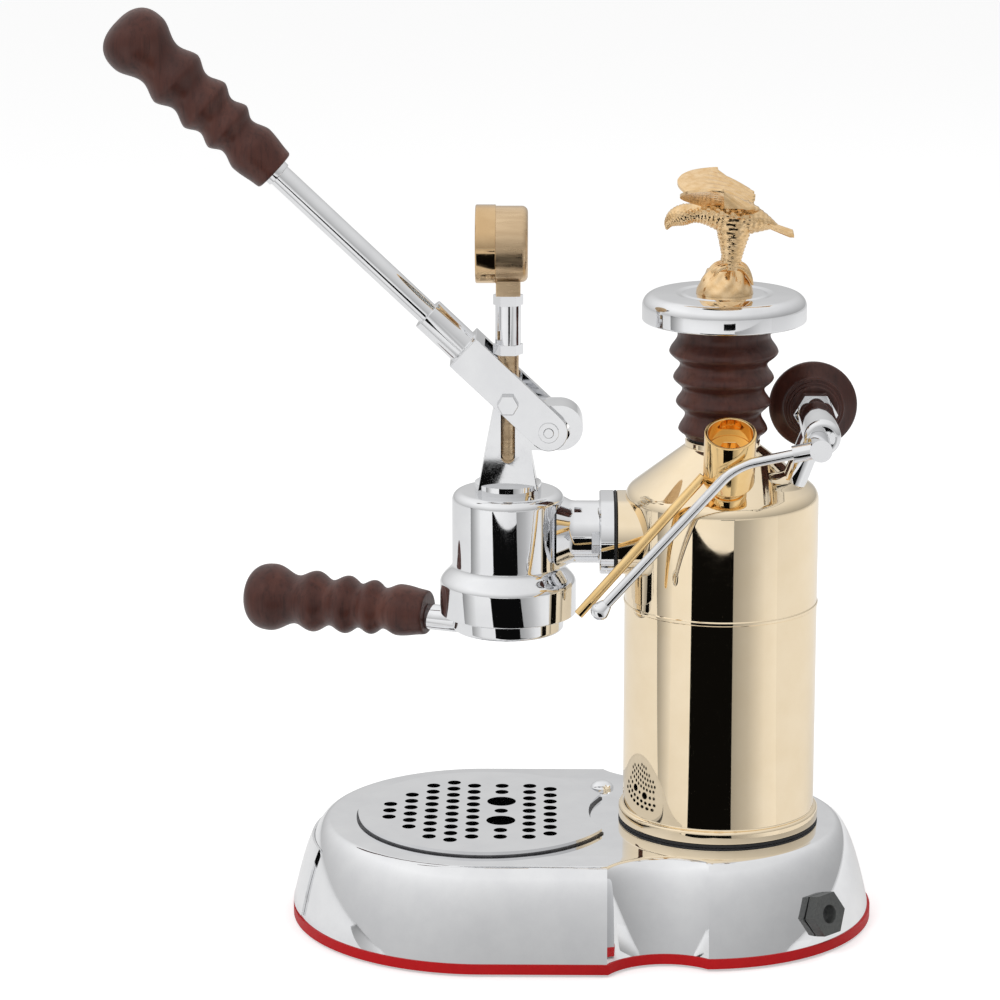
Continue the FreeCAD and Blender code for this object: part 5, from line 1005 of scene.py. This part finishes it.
def tailGrid():
    # a flat fan, u from root to end and v across: width grows with u, height falls with u and v^2, and
    # |sin(feathers v)| parts it into a few broad feathers
    f = tail
    u = np.linspace(0, 1, 24)[:, None]
    v = np.linspace(-1, 1, 60)[None]
    rib = np.abs(np.sin(v * f["feathers"]))
    x = f["root"] + (f["long"] - f["notch"] * (1 - rib)) * u
    y = v * (f["halfWide"] + f["fan"] * u)
    z = f["z"] - f["drop"] * u - f["droop"] * v ** 2 + f["ridge"] * rib
    topSkin, lowSkin = (np.stack([x, y, z + lift], -1) for lift in (f["half"], -f["half"]))
    return np.concatenate([topSkin, lowSkin[::-1]])


def makeBird():
    parts = [(torsoGrid(), tubeFaces)]
    for side in (-1, 1):
        parts.append((legGrid(side), tubeFaces))
        parts += [(toeGrid(side, apart, reach), tubeFaces) for apart, reach in bird["toes"]]
        parts.append((wingGrid(side), sheetFaces))
    parts.append((tailGrid(), sheetFaces))
    verts, faces, start = [], [], 0
    for grid, facesOf in parts:
        rows, cols = grid.shape[:2]
        verts.append(grid.reshape(-1, 3))
        faces += facesOf(rows, cols, start)
        start += rows * cols
    addMesh("cap_bird", np.concatenate(verts) + birdAt, faces, castGold, ["cap_finial"], sharp=60.0)


def makeRock():
    # radius = (foot radius - taper h^1.6), grown by h times two slow waves round the turn, where h is the
    # share of the height
    k = rock
    turn = fullTurn(k["around"])
    h = np.linspace(0, 1, k["rows"])[:, None]
    rough = 0.07 * np.sin(5 * turn + 4 * h) + 0.05 * np.sin(9 * turn - 7 * h)
    radius = (k["radius"] - k["taper"] * h ** 1.6) * (1 + h * rough)
    grid = np.stack([radius * np.cos(turn), radius * np.sin(turn), k["high"] * h + 0 * turn], -1)
    verts = np.concatenate([grid.reshape(-1, 3), [(0, 0, k["peak"]), (0, 0, 0)]]) + birdAt
    peak, sole = len(verts) - 2, len(verts) - 1
    here = np.arange(k["around"])
    after = np.roll(here, -1)
    last = (k["rows"] - 1) * k["around"]
    faces = gridFaces(k["rows"], k["around"], False, True).tolist()
    faces += np.stack([last + here, last + after, np.full_like(here, peak)], 1).tolist()
    faces += np.stack([after, here, np.full_like(here, sole)], 1).tolist()
    addMesh("cap_bird_rock", verts, faces, castGold, [], sharp=50.0, body="filler_cap")


makeBird()
makeRock()
print("bird done")


# stage: pale floor, cards that only metal sees, a graded room, soft lamps, camera; all in metres

floorLook = {"half": 6.0, "shade": 0.8, "glow": 0.45, "mirrorGlow": 0.12}
# each card: nearest and farthest distance from the boiler, height, (turn in degrees, shade) from side to side
cards = {
    "cardDark": (0.13, 1.0, 0.004, [(-36, 0.004), (12, 0.004)]),
    "cardDarkCap": (1.38, 1.85, 0.004, [(-3, 0.004), (13, 0.004)]),
    "cardGrey": (0.10, 1.3, 0.003, [(12, 0.40), (30, 0.58), (50, 0.92), (66, 1.0)]),
    "cardEdge": (0.10, 1.3, 0.003, [(-82, 0.3), (-74, 0.5), (-60, 0.9)]),
}
room = {"low": 0.55, "high": 1.0, "highFrom": 0.7, "left": 1.1, "right": 0.75, "matt": 0.62, "seen": 1.0}
lamps = {
    "keyLamp": {"at": (-1.1, -1.3, 1.7), "aim": (0, 0, 0.2), "size": (0.9, 0.9), "power": 17},
    "rimLamp": {"at": (1.3, 0.9, 1.5), "aim": (0, 0, 0.25), "size": (0.7, 1.0), "power": 9},
}
view = {"at": (-0.017, -1.93, 0.689), "aim": (-0.041, 0, 0.2145), "lens": 144.6, "sensor": 36.0,
        "clipEnd": 50}


def mathNode(tree, operation):
    node = tree.nodes.new("ShaderNodeMath")
    node.operation = operation
    return node


def floorFinish(name):
    # matt, and lifted to white where it is seen or, less, where it is mirrored, so that its shadow stays
    mat, tree = startMaterial(name)[:2]
    tree.nodes.clear()
    out = tree.nodes.new("ShaderNodeOutputMaterial")
    diffuse = tree.nodes.new("ShaderNodeBsdfDiffuse")
    shade = floorLook["shade"]
    diffuse.inputs["Color"].default_value = (shade, shade, shade, 1)
    emit = tree.nodes.new("ShaderNodeEmission")
    join = tree.nodes.new("ShaderNodeAddShader")
    rays = tree.nodes.new("ShaderNodeLightPath")
    mirrored, dimmed, lift = (mathNode(tree, kind) for kind in ("MAXIMUM", "MULTIPLY", "MULTIPLY_ADD"))
    dimmed.inputs[1].default_value = floorLook["mirrorGlow"]
    lift.inputs[1].default_value = floorLook["glow"]
    tree.links.new(rays.outputs["Is Glossy Ray"], mirrored.inputs[0])
    tree.links.new(rays.outputs["Is Transmission Ray"], mirrored.inputs[1])
    tree.links.new(mirrored.outputs[0], dimmed.inputs[0])
    tree.links.new(rays.outputs["Is Camera Ray"], lift.inputs[0])
    tree.links.new(dimmed.outputs[0], lift.inputs[2])
    tree.links.new(lift.outputs[0], emit.inputs["Strength"])
    tree.links.new(diffuse.outputs[0], join.inputs[0])
    tree.links.new(emit.outputs[0], join.inputs[1])
    tree.links.new(join.outputs[0], out.inputs["Surface"])
    return mat


def cardFinish(name, stops):
    # shade by the turn about the boiler's axis, whose tangent is sideways distance over forward distance
    mat, tree, shader = startMaterial(name)
    shader.inputs["Roughness"].default_value = 1.0
    shader.inputs["Specular IOR Level"].default_value = 0.0
    where = tree.nodes.new("ShaderNodeTexCoord")
    apart = tree.nodes.new("ShaderNodeSeparateXYZ")
    aside, turn, share = (mathNode(tree, kind) for kind in ("SUBTRACT", "ARCTAN2", "MULTIPLY"))
    aside.inputs[0].default_value = boilerX * mm
    share.inputs[1].default_value = -1 / math.pi
    tree.links.new(where.outputs["Object"], apart.inputs[0])
    tree.links.new(apart.outputs["X"], aside.inputs[1])
    tree.links.new(aside.outputs[0], turn.inputs[1])
    tree.links.new(apart.outputs["Y"], turn.inputs[0])
    tree.links.new(turn.outputs[0], share.inputs[0])
    shades = ramp(tree, share.outputs[0], [(0.5 + degrees / 180, (v, v, v)) for degrees, v in stops])
    tree.links.new(shades, shader.inputs["Base Color"])
    return mat


def stageCard(name, corners, finish):
    mesh = bpy.data.meshes.new(name)
    mesh.from_pydata(corners, [], [[0, 1, 2, 3]])
    mesh.materials.append(finish)
    obj = bpy.data.objects.new(name, mesh)
    bpy.context.scene.collection.objects.link(obj)
    return obj


def mirrorCard(name, near, far, lift, stops):
    # a flat sector in front of the boiler, between two turns from straight ahead; only polished metal sees it
    left, right = (math.tan(math.radians(stop[0])) for stop in (stops[0], stops[-1]))
    middle = boilerX * mm
    corners = [(middle + away * slope, -away, lift)
               for away, slope in ((near, left), (near, right), (far, right), (far, left))]
    obj = stageCard(name, corners, cardFinish(name, stops))
    obj.visible_camera = False
    obj.visible_shadow = False
    obj.visible_diffuse = False


def makeRoom():
    # polished metal sees a room that is darker low down and to the right; the camera sees plain white
    world = bpy.data.worlds.new("studio")
    bpy.context.scene.world = world
    world.use_nodes = True
    tree = world.node_tree
    light = tree.nodes["Background"]
    light.inputs["Color"].default_value = (1, 1, 1, 1)

    def graded(*limits):
        node = tree.nodes.new("ShaderNodeMapRange")
        for key, value in zip(("From Min", "From Max", "To Min", "To Max"), limits):
            node.inputs[key].default_value = value
        return node

    way = tree.nodes.new("ShaderNodeTexCoord")
    apart = tree.nodes.new("ShaderNodeSeparateXYZ")
    rise = graded(0.0, room["highFrom"], room["low"], room["high"])
    aside = graded(-1.0, 1.0, room["left"], room["right"])
    both, seen = mathNode(tree, "MULTIPLY"), mathNode(tree, "MAXIMUM")
    rays = tree.nodes.new("ShaderNodeLightPath")
    mirrorMix, finalMix = (tree.nodes.new("ShaderNodeMix") for _ in range(2))
    mirrorMix.inputs["A"].default_value = room["matt"]
    finalMix.inputs["B"].default_value = room["seen"]
    for source, target in (
            (way.outputs["Generated"], apart.inputs[0]),
            (apart.outputs["Z"], rise.inputs["Value"]),
            (apart.outputs["X"], aside.inputs["Value"]),
            (rise.outputs[0], both.inputs[0]),
            (aside.outputs[0], both.inputs[1]),
            (rays.outputs["Is Glossy Ray"], mirrorMix.inputs[0]),
            (both.outputs[0], mirrorMix.inputs["B"]),
            (rays.outputs["Is Camera Ray"], seen.inputs[0]),
            (rays.outputs["Is Transmission Ray"], seen.inputs[1]),
            (seen.outputs[0], finalMix.inputs[0]),
            (mirrorMix.outputs[0], finalMix.inputs["A"]),
            (finalMix.outputs[0], light.inputs["Strength"])):
        tree.links.new(source, target)


def lookFrom(obj, at, aim):
    obj.location = at
    obj.rotation_euler = (Vector(aim) - Vector(at)).to_track_quat("-Z", "Y").to_euler()
    bpy.context.scene.collection.objects.link(obj)


def softLamp(name, at, aim, size, power):
    data = bpy.data.lights.new(name, "AREA")
    data.shape = "RECTANGLE"
    data.size, data.size_y = size
    data.energy = power
    lamp = bpy.data.objects.new(name, data)
    lamp.visible_glossy = False
    lookFrom(lamp, at, aim)


def makeCamera():
    data = bpy.data.cameras.new("photoCamera")
    data.sensor_width = view["sensor"]
    data.lens = view["lens"]
    data.clip_end = view["clipEnd"]
    camera = bpy.data.objects.new("photoCamera", data)
    lookFrom(camera, view["at"], view["aim"])
    bpy.context.scene.camera = camera


floorHalf = floorLook["half"]
floorCorners = [(x * floorHalf, y * floorHalf, 0.0) for x, y in ((-1, -1), (1, -1), (1, 1), (-1, 1))]
stageCard("floor", floorCorners, floorFinish("paleFloor"))
for cardName, card in cards.items():
    mirrorCard(cardName, *card)
makeRoom()
for lampName, lampLook in lamps.items():
    softLamp(lampName, **lampLook)
makeCamera()
bpy.context.scene.view_settings.view_transform = "Standard"
print("stage done")
